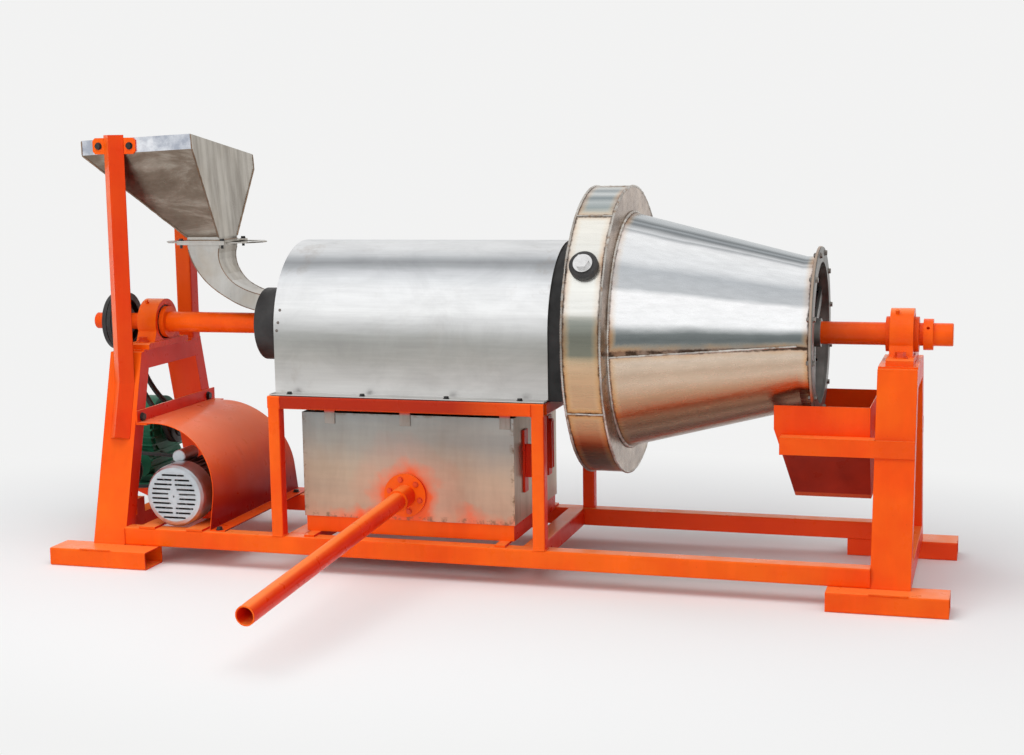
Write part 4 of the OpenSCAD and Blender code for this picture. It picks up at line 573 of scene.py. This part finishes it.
# The housings carry painted light on their tops and painted shade on their right and rear faces.
housing_orange = enamel("housing_orange", shade(255, 104, 18), shade(242, 72, 12), 0.24, painted_light=0.7)
finish(housing_orange, "left_bearing_housing", "right_bearing_housing")
ring_paint = enamel("ring_paint", shade(250, 92, 14), shade(222, 56, 10), 0.3)
tree, shader, sprayed = painted(ring_paint)
axis_height, seal_radius = 0.660, 0.0463
high, deep = work(tree, "SUBTRACT", along(tree, "Z"), axis_height), along(tree, "Y")
off_axis = work(tree, "SQRT", work(tree, "ADD", times(tree, high, high), times(tree, deep, deep)))
seal = work(tree, "GREATER_THAN", off_axis, seal_radius)
tree.links.new(mix(tree, seal, sprayed, shade(38, 30, 28)), shader.inputs["Base Color"])
finish(ring_paint, "bearing_inner_rings")

# Drive pulley
# Cast iron V-belt pulley, turned and painted black, on the stub at the left end of the shaft.
# The pulleys of the gearbox and of the motor are of the same make.


def dark_steel(name, light, dark, rough, metallic=0.0, scale=12.0, edge=0.0012):
    """Dark painted or oiled steel with dull patches and dust."""
    mat, tree, shader = new_material(name, rough, metallic)
    tone = ramp(tree, noise(tree, scale, detail=6), (0.35, dark), (0.70, light))
    tree.links.new(tone, shader.inputs["Base Color"])
    worn = ramp(tree, noise(tree, scale * 3, detail=4), (0.3, rough - 0.08), (0.7, rough + 0.15))
    tree.links.new(worn, shader.inputs["Roughness"])
    bump(tree, shader, noise(tree, 140, detail=3), 0.16, 0.0008, edge=edge)
    return mat


pulley_black = dark_steel("pulley_black", (0.024, 0.023, 0.023), (0.010, 0.009, 0.009), 0.46)
finish(pulley_black, "drive_pulley", "output_pulley", "input_pulley", "motor_pulley")

# Drum and its jacket
# Rolled mild steel, blackened by heat, turning inside a fixed black sheet jacket with end plates.
# The flights and spokes inside it are worn brighter by the sand.
drum_black = dark_steel("drum_black", (0.045, 0.043, 0.042), (0.014, 0.013, 0.013), 0.55)
jacket_black = dark_steel("jacket_black", (0.012, 0.011, 0.011), (0.004, 0.004, 0.004), 0.60)
finish(jacket_black, "drum_jacket")
finish(drum_black, "drum", "plug_boss")
inner_steel = dark_steel("inner_steel", (0.20, 0.18, 0.16), (0.08, 0.07, 0.065), 0.5, 0.8)
finish(inner_steel, "drum_flights", "drum_spokes")

# Sand ring, cone and outlet flange
# Polished stainless sheet, welded from plates and turning with the drum. Light and dark bands of painted
# reflection lie along the axis, and straw and brown heat tint lies beside the seams. The flange is of duller
# and browner steel.


def turn_angle(tree):
    """Angle in degrees about the drum axis, 0 at the front and 90 on top: atan2(z - axis height, -y)."""
    up = work(tree, "SUBTRACT", along(tree, "Z"), axis_height)
    front = times(tree, along(tree, "Y"), -1.0)
    return times(tree, work(tree, "ARCTAN2", up, front), 180 / math.pi)


def reflection_bands(tree, wander, *stops):
    """Painted reflection bands round the drum axis from (degrees, colour) stops, uneven with axis streaks."""
    streak = work(tree, "SUBTRACT", noise(tree, 16, (0.10, 1, 1), 4, 0.6), 0.5)
    angle = work(tree, "ADD", turn_angle(tree), times(tree, streak, wander))
    return ramp(tree, work(tree, "DIVIDE", work(tree, "ADD", angle, 180.0), 360.0),
                *[((degrees + 180) / 360, colour) for degrees, colour in stops])


def seam_distance(tree, planes, seams, radius):
    """Distance in metres to the nearest weld: the planes x = c and the seams at angles on a radius."""
    x, angle, nearest = along(tree, "X"), turn_angle(tree), 1.0
    for plane in planes:
        nearest = work(tree, "MINIMUM", work(tree, "ABSOLUTE", work(tree, "SUBTRACT", x, plane)), nearest)
    for seam in seams:
        apart = work(tree, "ABSOLUTE", work(tree, "SUBTRACT", angle, seam))
        nearest = work(tree, "MINIMUM", times(tree, apart, radius * math.pi / 180), nearest)
    return nearest


def heat_tint(tree, tone, distance, reach=0.011):
    """Dark ragged burn close to a seam inside a wide uneven straw-coloured tint that fades out."""
    patchy = ramp(tree, noise(tree, 9, detail=4, rough=0.6, shift=(2, 4, 1)), (0.34, 0.35), (0.62, 1.0))
    ragged = times(tree, work(tree, "SUBTRACT", noise(tree, 75, detail=4, rough=0.7), 0.5), reach * 0.9)
    uneven = work(tree, "ADD", distance, ragged)
    far = span(tree, uneven, reach * 2.1, reach * 0.3)
    straw = ramp(tree, far,
                 (0.0, shade(236, 210, 170)), (0.6, shade(214, 160, 92)), (1.0, shade(176, 112, 62)))
    tone = mix(tree, times(tree, far, patchy, 0.7), tone, straw)
    near = span(tree, uneven, reach * 0.70, reach * 0.30)
    burn = ramp(tree, noise(tree, 24, detail=5, rough=0.7, shift=(7, 1, 3)), (0.40, 0.50), (0.54, 0.95))
    return mix(tree, times(tree, near, burn), tone, shade(58, 42, 32))


def polished(name, bands, wander, planes, seams, radius, rough):
    """Polished sheet about the drum axis: painted reflection bands, fine rolling marks, cloudy tone and weld
    tint.
    """
    mat, tree, shader = new_material(name, rough, 1.0)
    tone = reflection_bands(tree, wander, *bands)
    cloud = ramp(tree, noise(tree, 6.0, (0.5, 1, 1), 6, 0.6, distort=0.5), (0.28, 0.92), (0.58, 1.0))
    marks = noise(tree, 90, (0.05, 1, 1), 4, 0.6)
    tone = darken(tree, darken(tree, tone, cloud), ramp(tree, marks, (0.32, 0.88), (0.70, 1.0)))
    tone = heat_tint(tree, tone, seam_distance(tree, planes, seams, radius))
    return mat, tree, shader, tone, marks


def dress(tree, shader, tone, marks, rough):
    """Links tone, streaked roughness and a shallow dented relief to the shader."""
    tree.links.new(tone, shader.inputs["Base Color"])
    tree.links.new(ramp(tree, marks, (0.25, rough - 0.07), (0.75, rough + 0.10)), shader.inputs["Roughness"])
    bump(tree, shader, mix(tree, 0.35, noise(tree, 7.0, (0.5, 1, 1), 3), marks), 0.10, 0.003, edge=0.0012)


# Painted reflection on the cone: light and dark bands by angle, warm tan and brown below the front seam.
cone_reflections = (
    (-175, shade(160, 142, 128)), (-80, shade(168, 146, 128)), (-66, shade(176, 148, 124)),
    (-60, shade(150, 122, 100)), (-54, shade(192, 158, 130)), (-49, shade(162, 124, 98)),
    (-44, shade(188, 146, 114)), (-39, shade(176, 126, 94)), (-30, shade(200, 162, 130)),
    (-22, shade(222, 197, 172)), (-17, shade(210, 184, 160)), (-12, shade(228, 206, 184)),
    (-5.4, shade(226, 210, 196)), (-5.2, shade(150, 154, 152)), (1, shade(110, 116, 116)),
    (4.5, shade(124, 130, 130)), (7, shade(200, 203, 204)), (9.5, shade(252, 253, 254)),
    (24, shade(254, 254, 255)), (26.5, shade(198, 201, 204)), (38, shade(190, 194, 198)),
    (43, shade(230, 232, 234)), (58, shade(242, 243, 244)), (61.5, shade(230, 231, 233)),
    (62.7, shade(120, 126, 130)), (64, shade(222, 224, 226)), (69.5, shade(96, 102, 106)),
    (72, shade(158, 164, 168)), (74.5, shade(90, 97, 101)), (80, shade(166, 172, 175)),
    (100, shade(160, 166, 169)), (178, shade(176, 168, 160)),
)
cone_left, cone_right = 0.3795, 0.8762
cone_polish, tree, shader, tone, marks = polished(
    "cone_polish", cone_reflections, 5.0, (cone_left, cone_right), (-5.4, 174), 0.26, 0.24)
dress(tree, shader, tone, marks, 0.24)
finish(cone_polish, "outlet_cone")

# Painted reflection on the sand ring: light and dark bands by angle, tan and brown below the front.
ring_reflections = (
    (-175, shade(150, 134, 118)), (-110, shade(146, 124, 104)), (-75, shade(150, 124, 102)),
    (-58, shade(112, 88, 70)), (-50, shade(124, 84, 60)), (-46, shade(152, 84, 50)),
    (-38, shade(186, 138, 102)), (-30, shade(206, 164, 126)), (-12, shade(212, 176, 140)),
    (-8, shade(218, 186, 152)), (-6, shade(206, 184, 152)), (-5, shade(134, 134, 120)),
    (3, shade(120, 122, 112)), (8, shade(150, 154, 146)), (10.5, shade(206, 206, 198)),
    (12, shade(253, 253, 248)), (26, shade(254, 254, 248)), (31, shade(212, 213, 208)),
    (36, shade(240, 239, 233)), (52, shade(252, 249, 240)), (56, shade(226, 220, 206)),
    (60, shade(158, 168, 168)), (65, shade(188, 194, 194)), (68, shade(118, 130, 134)),
    (73, shade(206, 210, 209)), (77, shade(120, 132, 136)), (82, shade(186, 188, 184)),
    (92, shade(150, 150, 144)), (104, shade(164, 158, 148)), (150, shade(190, 184, 172)),
    (178, shade(160, 146, 130)),
)
ring_left, ring_right, ring_radius = 0.2765, 0.3765, 0.388
ring_seams = (-28, 55, 88, 152, -122)
ring_polish, tree, shader, tone, marks = polished(
    "ring_polish", ring_reflections, 4.0, (ring_left, ring_right), ring_seams, ring_radius, 0.26)
plate_tone = ramp(tree, noise(tree, 14, detail=6, rough=0.65),
                  (0.32, shade(128, 110, 98)), (0.66, shade(186, 168, 152)))
plate_tone = darken(tree, plate_tone, ramp(tree, noise(tree, 55, detail=4), (0.60, 1.0), (0.72, 0.72)))
plate_only = work(tree, "GREATER_THAN", work(tree, "ABSOLUTE", along(tree, "X", "Normal")), 0.75)
dress(tree, shader, mix(tree, plate_only, tone, plate_tone), marks, 0.28)
finish(ring_polish, "sand_ring")
flange_steel = stainless("flange_steel", (0.58, 0.46, 0.37), (0.30, 0.22, 0.17), 0.36, (1, 1, 1), 60,
                         (0.32, 0.20, 0.13))
finish(flange_steel, "outlet_flange")


def circle_bead(name, x, radius, size, seed, count=1400):
    """Weld bead on a circle about the drum axis: c(s) = (x, R cos s, axis height + R sin s)."""
    s = np.linspace(0, 2 * math.pi, count, endpoint=False)
    wander = np.random.default_rng(seed).normal(0, 1, count)
    wander = np.convolve(np.concatenate([wander, wander[:40]]), np.ones(41) / 41, "valid")[:count] * 0.0016
    path = np.stack([x + wander, radius * np.cos(s), axis_height + radius * np.sin(s)], axis=1)
    out = np.stack([0 * s, np.cos(s), np.sin(s)], axis=1)
    return tube_mesh(name, path, out, ripple(count, 4, size, seed), closed=True)


def on_drum(x, radius, angle):
    """Point at an angle above the front about the drum axis, and the way out there."""
    a = math.radians(angle)
    return (x, -radius * math.cos(a), axis_height + radius * math.sin(a)), (0, -math.cos(a), math.sin(a))


def seam_bead(x_start, x_end, radius_start, radius_end, angle, size, seed, out=None):
    """Weld bead between two places beside the drum axis at one angle; out is the way off the sheet."""
    start, away = on_drum(x_start, radius_start, angle)
    end, away = on_drum(x_end, radius_end, angle)
    return line_bead("bead", start, end, out or away, size, seed)


weld_steel = stainless("weld_steel", (0.78, 0.75, 0.70), (0.22, 0.18, 0.15), 0.32, (1, 1, 1), 300,
                       (0.26, 0.15, 0.08), 60, edge=0)
ring_beads = [circle_bead("bead", x, 0.3885, 0.0032, seed) for seed, x in ((1, ring_left), (2, ring_right))]
ring_beads.append(circle_bead("bead", 0.3798, 0.3188, 0.0042, 3))
for seed, angle in enumerate(ring_seams):
    ring_beads.append(seam_bead(0.277, 0.376, 0.3882, 0.3882, angle, 0.0024, 10 + seed))
for seed, angle in enumerate((-14, 166)):
    ring_beads.append(seam_bead(0.3782, 0.3782, 0.322, 0.386, angle, 0.0018, 20 + seed, (1, 0, 0)))
join("ring_welds", ring_beads, "drum_assembly", weld_steel)

cone_beads = []
lean_right, lean_out = 0.37 / 0.98, 0.93
for seed, angle in enumerate((-6, 174)):
    start, out = on_drum(0.381, 0.3177, angle - 1)
    end, out = on_drum(0.845, 0.2014, angle + 2)
    out = (lean_right, out[1] * lean_out, out[2] * lean_out)
    cone_beads.append(line_bead("bead", start, end, out, 0.0030, 30 + seed))
cone_beads.append(circle_bead("bead", cone_right, 0.2018, 0.0026, 41, 900))
join("cone_welds", cone_beads, "drum_assembly", weld_steel)

# Sieve cone, outlet spokes and bolts
# Slotted inner cone and flat spokes of dull steel, with the hexagon bolts and nuts of the outlet flange.
# The sand plug, which closes the boss on the ring, is turned from bright steel.
sieve_steel = stainless("sieve_steel", (0.34, 0.33, 0.31), (0.16, 0.155, 0.15), 0.45, (0.2, 1, 1), 50)
finish(sieve_steel, "sieve_cone", "outlet_spokes")
bolt_steel = stainless("bolt_steel", (0.34, 0.31, 0.28), (0.13, 0.11, 0.10), 0.34)
plug_steel = stainless("plug_steel", (0.90, 0.90, 0.90), (0.58, 0.57, 0.56), 0.24, edge=0.0008)
finish(plug_steel, "sand_plug")
finish(bolt_steel, "outlet_bolts")

# Hood
# One bare bright sheet bent to an arch, bolted along its two bottom flanges, with bands of painted reflection
# along its length. Its left edge is brown, and three rivets sit low at the front of that edge.
hood_sheet, tree, shader = new_material("hood_sheet", 0.40, 1.0)
hood_reflections = (
    (-180, shade(200, 202, 204)), (-40, shade(238, 238, 236)), (-34, shade(228, 227, 225)),
    (-27, shade(206, 204, 201)), (-15, shade(182, 180, 175)), (-6, shade(174, 174, 170)),
    (-1, shade(186, 187, 184)), (3, shade(206, 207, 206)), (10, shade(228, 229, 229)),
    (15, shade(247, 248, 248)), (30, shade(246, 247, 248)), (36, shade(235, 237, 239)),
    (42, shade(213, 215, 218)), (47, shade(176, 179, 182)), (51, shade(160, 162, 165)),
    (55, shade(180, 183, 186)), (59, shade(206, 208, 210)), (67, shade(225, 226, 227)),
    (80, shade(222, 223, 224)), (98, shade(206, 209, 211)), (130, shade(222, 224, 226)),
    (178, shade(200, 202, 204)),
)
# Painted reflection: bright and dark bands round the hood by angle, brightest a little above the front.
tone = reflection_bands(tree, 7.0, *hood_reflections)
cloud = noise(tree, 7.0, (0.7, 1, 1), 7, 0.66, distort=0.7)
hood_brush = noise(tree, 120, (0.05, 1, 1), 4, 0.62)
tone = darken(tree, tone, ramp(tree, cloud, (0.30, 0.86), (0.58, 1.0)))
tone = darken(tree, tone, ramp(tree, hood_brush, (0.30, 0.92), (0.70, 1.0)))
smudge = ramp(tree, noise(tree, 9.0, (1, 1, 0.6), 6, 0.7, shift=(5, 2, 7)), (0.56, 0.0), (0.74, 0.55))
x = along(tree, "X")
by_edge = work(tree, "MAXIMUM", span(tree, x, -0.40, -0.57), span(tree, x, 0.08, 0.20))
smudge = times(tree, smudge, work(tree, "ADD", times(tree, by_edge, 0.8), 0.2))
tone = mix(tree, smudge, tone, shade(150, 134, 118))
left_edge = work(tree, "LESS_THAN", along(tree, "X", "Normal"), -0.7)
tree.links.new(mix(tree, left_edge, tone, shade(96, 78, 64)), shader.inputs["Base Color"])
tree.links.new(ramp(tree, cloud, (0.3, 0.44), (0.7, 0.32)), shader.inputs["Roughness"])
bump(tree, shader, mix(tree, 0.3, noise(tree, 5.0, (0.6, 1, 1), 3), hood_brush), 0.12, 0.003, edge=0.0010)
finish(hood_sheet, "hood")


def dome_mesh(name, centre, out, radius, height):
    """Rivet head: x = r sin u cos v, y = r sin u sin v, z = height cos u, with u from 4 to 90 degrees."""
    u, v = np.meshgrid(np.radians(np.linspace(4, 90, 9)), np.linspace(0, 2 * math.pi, 25)[:-1], indexing="ij")
    around = radius * np.sin(u)
    ball = np.stack([around * np.cos(v), around * np.sin(v), height * np.cos(u)], axis=2)
    turn = np.array(Vector(out).to_track_quat("Z", "Y").to_matrix())
    return grid_mesh(name, ball @ turn.T + np.array(centre), wrap_v=True)


hood_radius, rivet_radius, rivet_height = 0.2428, 0.0042, 0.0024
hood_rivets = []
rivet_places = ((-0.5628, 0.723), (-0.5667, 0.689), (-0.5706, 0.667))
for x, z in rivet_places:
    lift = math.asin((z - axis_height) / hood_radius)
    place, out = on_drum(x, hood_radius, math.degrees(lift))
    hood_rivets.append(dome_mesh("rivet", place, out, rivet_radius, rivet_height))
join("hood_rivets", hood_rivets, "frame", bolt_steel)

# Furnace box, its base, brackets and air pipe
# Welded stainless box on a painted base, cool grey above and straw-brown below. The paint gun has dusted it
# with orange round the air flange and along its lower edge. The brackets' tabs over its front are bare sheet.


def distance_to(tree, point):
    """Distance in metres from a point of the machine."""
    where = tree.nodes.new("ShaderNodeTexCoord")
    apart = tree.nodes.new("ShaderNodeVectorMath")
    apart.operation = "DISTANCE"
    apart.inputs[1].default_value = point
    tree.links.new(where.outputs["Object"], apart.inputs[0])
    return apart.outputs["Value"]


flange_x, flange_z = -0.208, 0.221
box_left, box_right, box_bottom, box_top = -0.506, 0.100, 0.160, 0.443
furnace_sheet, tree, shader = new_material("furnace_sheet", 0.4, 1.0)
x, z = along(tree, "X"), along(tree, "Z")
cloud = noise(tree, 4.5, (1, 1, 0.6), 7, 0.62, distort=0.5)
drift = times(tree, work(tree, "SUBTRACT", cloud, 0.5), 0.10)
tone = ramp(tree, span(tree, work(tree, "ADD", z, drift), 0.15, 0.45),
            (0.0, shade(214, 172, 146)), (0.45, shade(206, 178, 154)), (0.72, shade(176, 168, 158)),
            (1.0, shade(166, 166, 162)))
tone = darken(tree, tone, ramp(tree, cloud, (0.30, 0.80), (0.60, 1.0)))
fine = noise(tree, 60, (1, 1, 0.12), 4)
tone = darken(tree, tone, ramp(tree, fine, (0.3, 0.95), (0.7, 1.0)))
level = noise(tree, 9.0, (0.10, 1, 1), 5, 0.6, shift=(3, 1, 0))
tone = darken(tree, tone, ramp(tree, level, (0.34, (0.80, 0.83, 0.86)), (0.62, (1.0, 1.0, 1.0))))
cloudy = times(tree, work(tree, "SUBTRACT", noise(tree, 11, detail=5), 0.5), 0.14)
near = span(tree, work(tree, "ADD", distance_to(tree, (flange_x, -0.232, flange_z)), cloudy), 0.17, 0.06)
dust = ramp(tree, near, (0.0, 0.0), (0.55, 0.10), (0.85, 0.55), (1.0, 0.95))
tone = mix(tree, dust, tone, shade(248, 96, 30))
patches = ramp(tree, noise(tree, 5.0, (1, 1, 0.2), 3, shift=(2, 0, 0)), (0.40, 0.1), (0.58, 1.0))
low = times(tree, span(tree, work(tree, "ADD", z, cloudy), 0.192, 0.156), patches)
tone = mix(tree, low, tone, shade(246, 96, 44))
# Painted shade: the box's end faces take a darker, streaked tone.
end_face = work(tree, "GREATER_THAN", work(tree, "ABSOLUTE", along(tree, "X", "Normal")), 0.7)
end_face_shade = ramp(tree, noise(tree, 16, (1, 1, 0.10), 5, 0.6),
                (0.34, shade(150, 136, 118)), (0.62, shade(186, 174, 158)))
tone = mix(tree, times(tree, end_face, 0.85), tone, end_face_shade)
left_side, right_side = span(tree, x, box_left + 0.012, box_left), span(tree, x, box_right - 0.012, box_right)
edges = work(tree, "MAXIMUM", left_side, right_side)
edges = work(tree, "MAXIMUM", edges, span(tree, z, box_top - 0.009, box_top))
edges = work(tree, "MAXIMUM", edges, times(tree, span(tree, z, box_bottom + 0.006, box_bottom), 0.8))
edges = times(tree, edges, work(tree, "SUBTRACT", 1.0, end_face))
specks = ramp(tree, noise(tree, 38, detail=5, rough=0.7), (0.50, 0.0), (0.62, 0.85))
tone = mix(tree, times(tree, edges, specks), tone, shade(112, 86, 64))
tree.links.new(tone, shader.inputs["Base Color"])
paint = work(tree, "MAXIMUM", near, low)
tree.links.new(ramp(tree, paint, (0.2, 1.0), (0.8, 0.35)), shader.inputs["Metallic"])
bump(tree, shader, mix(tree, 0.5, fine, noise(tree, 6.0)), 0.10, 0.002, edge=0.0015)
finish(furnace_sheet, "furnace_box")
finish(orange, "furnace_base", "air_pipe")
# The brackets carry painted light on their tops and painted shade on their right and rear faces.
bracket_paint = enamel("bracket_paint", shade(240, 60, 24), shade(216, 44, 22), painted_light=0.5)
tree, shader, sprayed = painted(bracket_paint)
z = along(tree, "Z")
bare = times(tree, span(tree, along(tree, "Y"), -0.18, -0.21), span(tree, z, 0.36, 0.38),
             span(tree, z, 0.449, 0.441))
sheet_tone = ramp(tree, noise(tree, 40, (1, 1, 0.2), 4),
                  (0.36, shade(146, 140, 130)), (0.62, shade(164, 160, 152)))
tree.links.new(mix(tree, bare, sprayed, sheet_tone), shader.inputs["Base Color"])
finish(bracket_paint, "furnace_brackets")

# Discharge trough
# Folded sheet under the outlet, held on two angles across the right stand.
# The tapered chute under it is painted a dark red-brown as painted shade, with a duller lip.
finish(orange, "trough_angles")
# The trough carries painted light on its tops and painted shade on its right and rear faces.
trough_paint = enamel("trough_paint", shade(255, 92, 14), shade(240, 66, 10), painted_light=0.7)
tree, shader, sprayed = painted(trough_paint)
chute_top, lip_top = 0.3655, 0.252
z = along(tree, "Z")
chute_part = times(tree, work(tree, "LESS_THAN", z, chute_top), work(tree, "GREATER_THAN", z, lip_top))
# Painted shade: the chute under the trough is a dark red-brown.
chute_shade = ramp(tree, noise(tree, 9, detail=5), (0.35, shade(132, 34, 22)), (0.65, shade(160, 44, 26)))
tone = mix(tree, work(tree, "LESS_THAN", z, lip_top), sprayed, shade(190, 78, 46))
tree.links.new(mix(tree, chute_part, tone, chute_shade), shader.inputs["Base Color"])
finish(trough_paint, "discharge_trough")

# Motor, gearbox and guard
# Black single phase motor with a pressed fan cover, green cast worm gearbox, both on orange steel.
# The bent sheet guard over them has painted light above and painted shade down its right face.
finish(orange, "motor_base", "guard_bar", "gearbox_bracket")
guard_paint = enamel("guard_paint", shade(255, 96, 22), shade(246, 72, 12))
tree, shader, sprayed = painted(guard_paint)
# Painted light: upper faces that look up turn paler.
guard_top_light = times(tree, span(tree, along(tree, "Z"), 0.22, 0.36), facing(tree, "Z", 0.25, 0.6), 0.8)
tone = mix(tree, guard_top_light, sprayed, shade(255, 138, 92))
# Painted shade: the right face darkens towards the bottom.
guard_side_shade = times(tree, span(tree, along(tree, "Z"), 0.29, 0.14), facing(tree, "X", 0.3, 0.8))
tree.links.new(mix(tree, guard_side_shade, tone, shade(150, 8, 8)), shader.inputs["Base Color"])
shader.inputs["Specular IOR Level"].default_value = 0.05
finish(guard_paint, "belt_guard")
motor_black = dark_steel("motor_black", (0.06, 0.062, 0.065), (0.02, 0.02, 0.022), 0.4)
finish(motor_black, "motor_housing")
cover_silver = stainless("cover_silver", (0.68, 0.71, 0.74), (0.50, 0.53, 0.56), 0.38, edge=0.0008)
finish(cover_silver, "fan_cover", "capacitor")
gear_green = enamel("gear_green", (0.026, 0.18, 0.095), (0.012, 0.09, 0.05), 0.38)
finish(gear_green, "gearbox_housing")
shaft_bright = stainless("shaft_bright", (0.62, 0.62, 0.62), (0.40, 0.40, 0.40), 0.3)
finish(shaft_bright, "gearbox_output_shaft", "worm_shaft", "motor_rotor")

# Belts
# Endless rubber V-belts with a cloth cover, matt and dark: one from the gearbox up to the drive pulley,
# the other from the motor to the gearbox.
belt_rubber = dark_steel("belt_rubber", (0.03, 0.03, 0.03), (0.012, 0.012, 0.012), 0.65)
finish(belt_rubber, "drive_belt", "input_belt")

# Bolts of the frame
# Blackened hexagon bolts with washers, their shanks in clearance holes.
# Those on the air flange and by the bearings were sprayed over with the parts that they hold.
bolt_black = dark_steel("bolt_black", (0.05, 0.05, 0.05), (0.02, 0.02, 0.02), 0.35, 0.5)
tree, shader, black = painted(bolt_black)
x, z = along(tree, "X"), along(tree, "Z")
on_flange = span(tree, distance_to(tree, (flange_x, -0.245, flange_z)), 0.080, 0.060)
right_seat = work(tree, "GREATER_THAN", x, 1.0)
left_seat = times(tree, work(tree, "LESS_THAN", x, -1.0), span(tree, z, 0.52, 0.53),
                  span(tree, z, 0.72, 0.71))
oversprayed = work(tree, "MAXIMUM", work(tree, "MAXIMUM", on_flange, right_seat), left_seat)
tree.links.new(mix(tree, oversprayed, black, shade(226, 70, 18)), shader.inputs["Base Color"])
tree.links.new(work(tree, "SUBTRACT", 0.5, times(tree, oversprayed, 0.5)), shader.inputs["Metallic"])
finish(bolt_black, "frame_bolts")
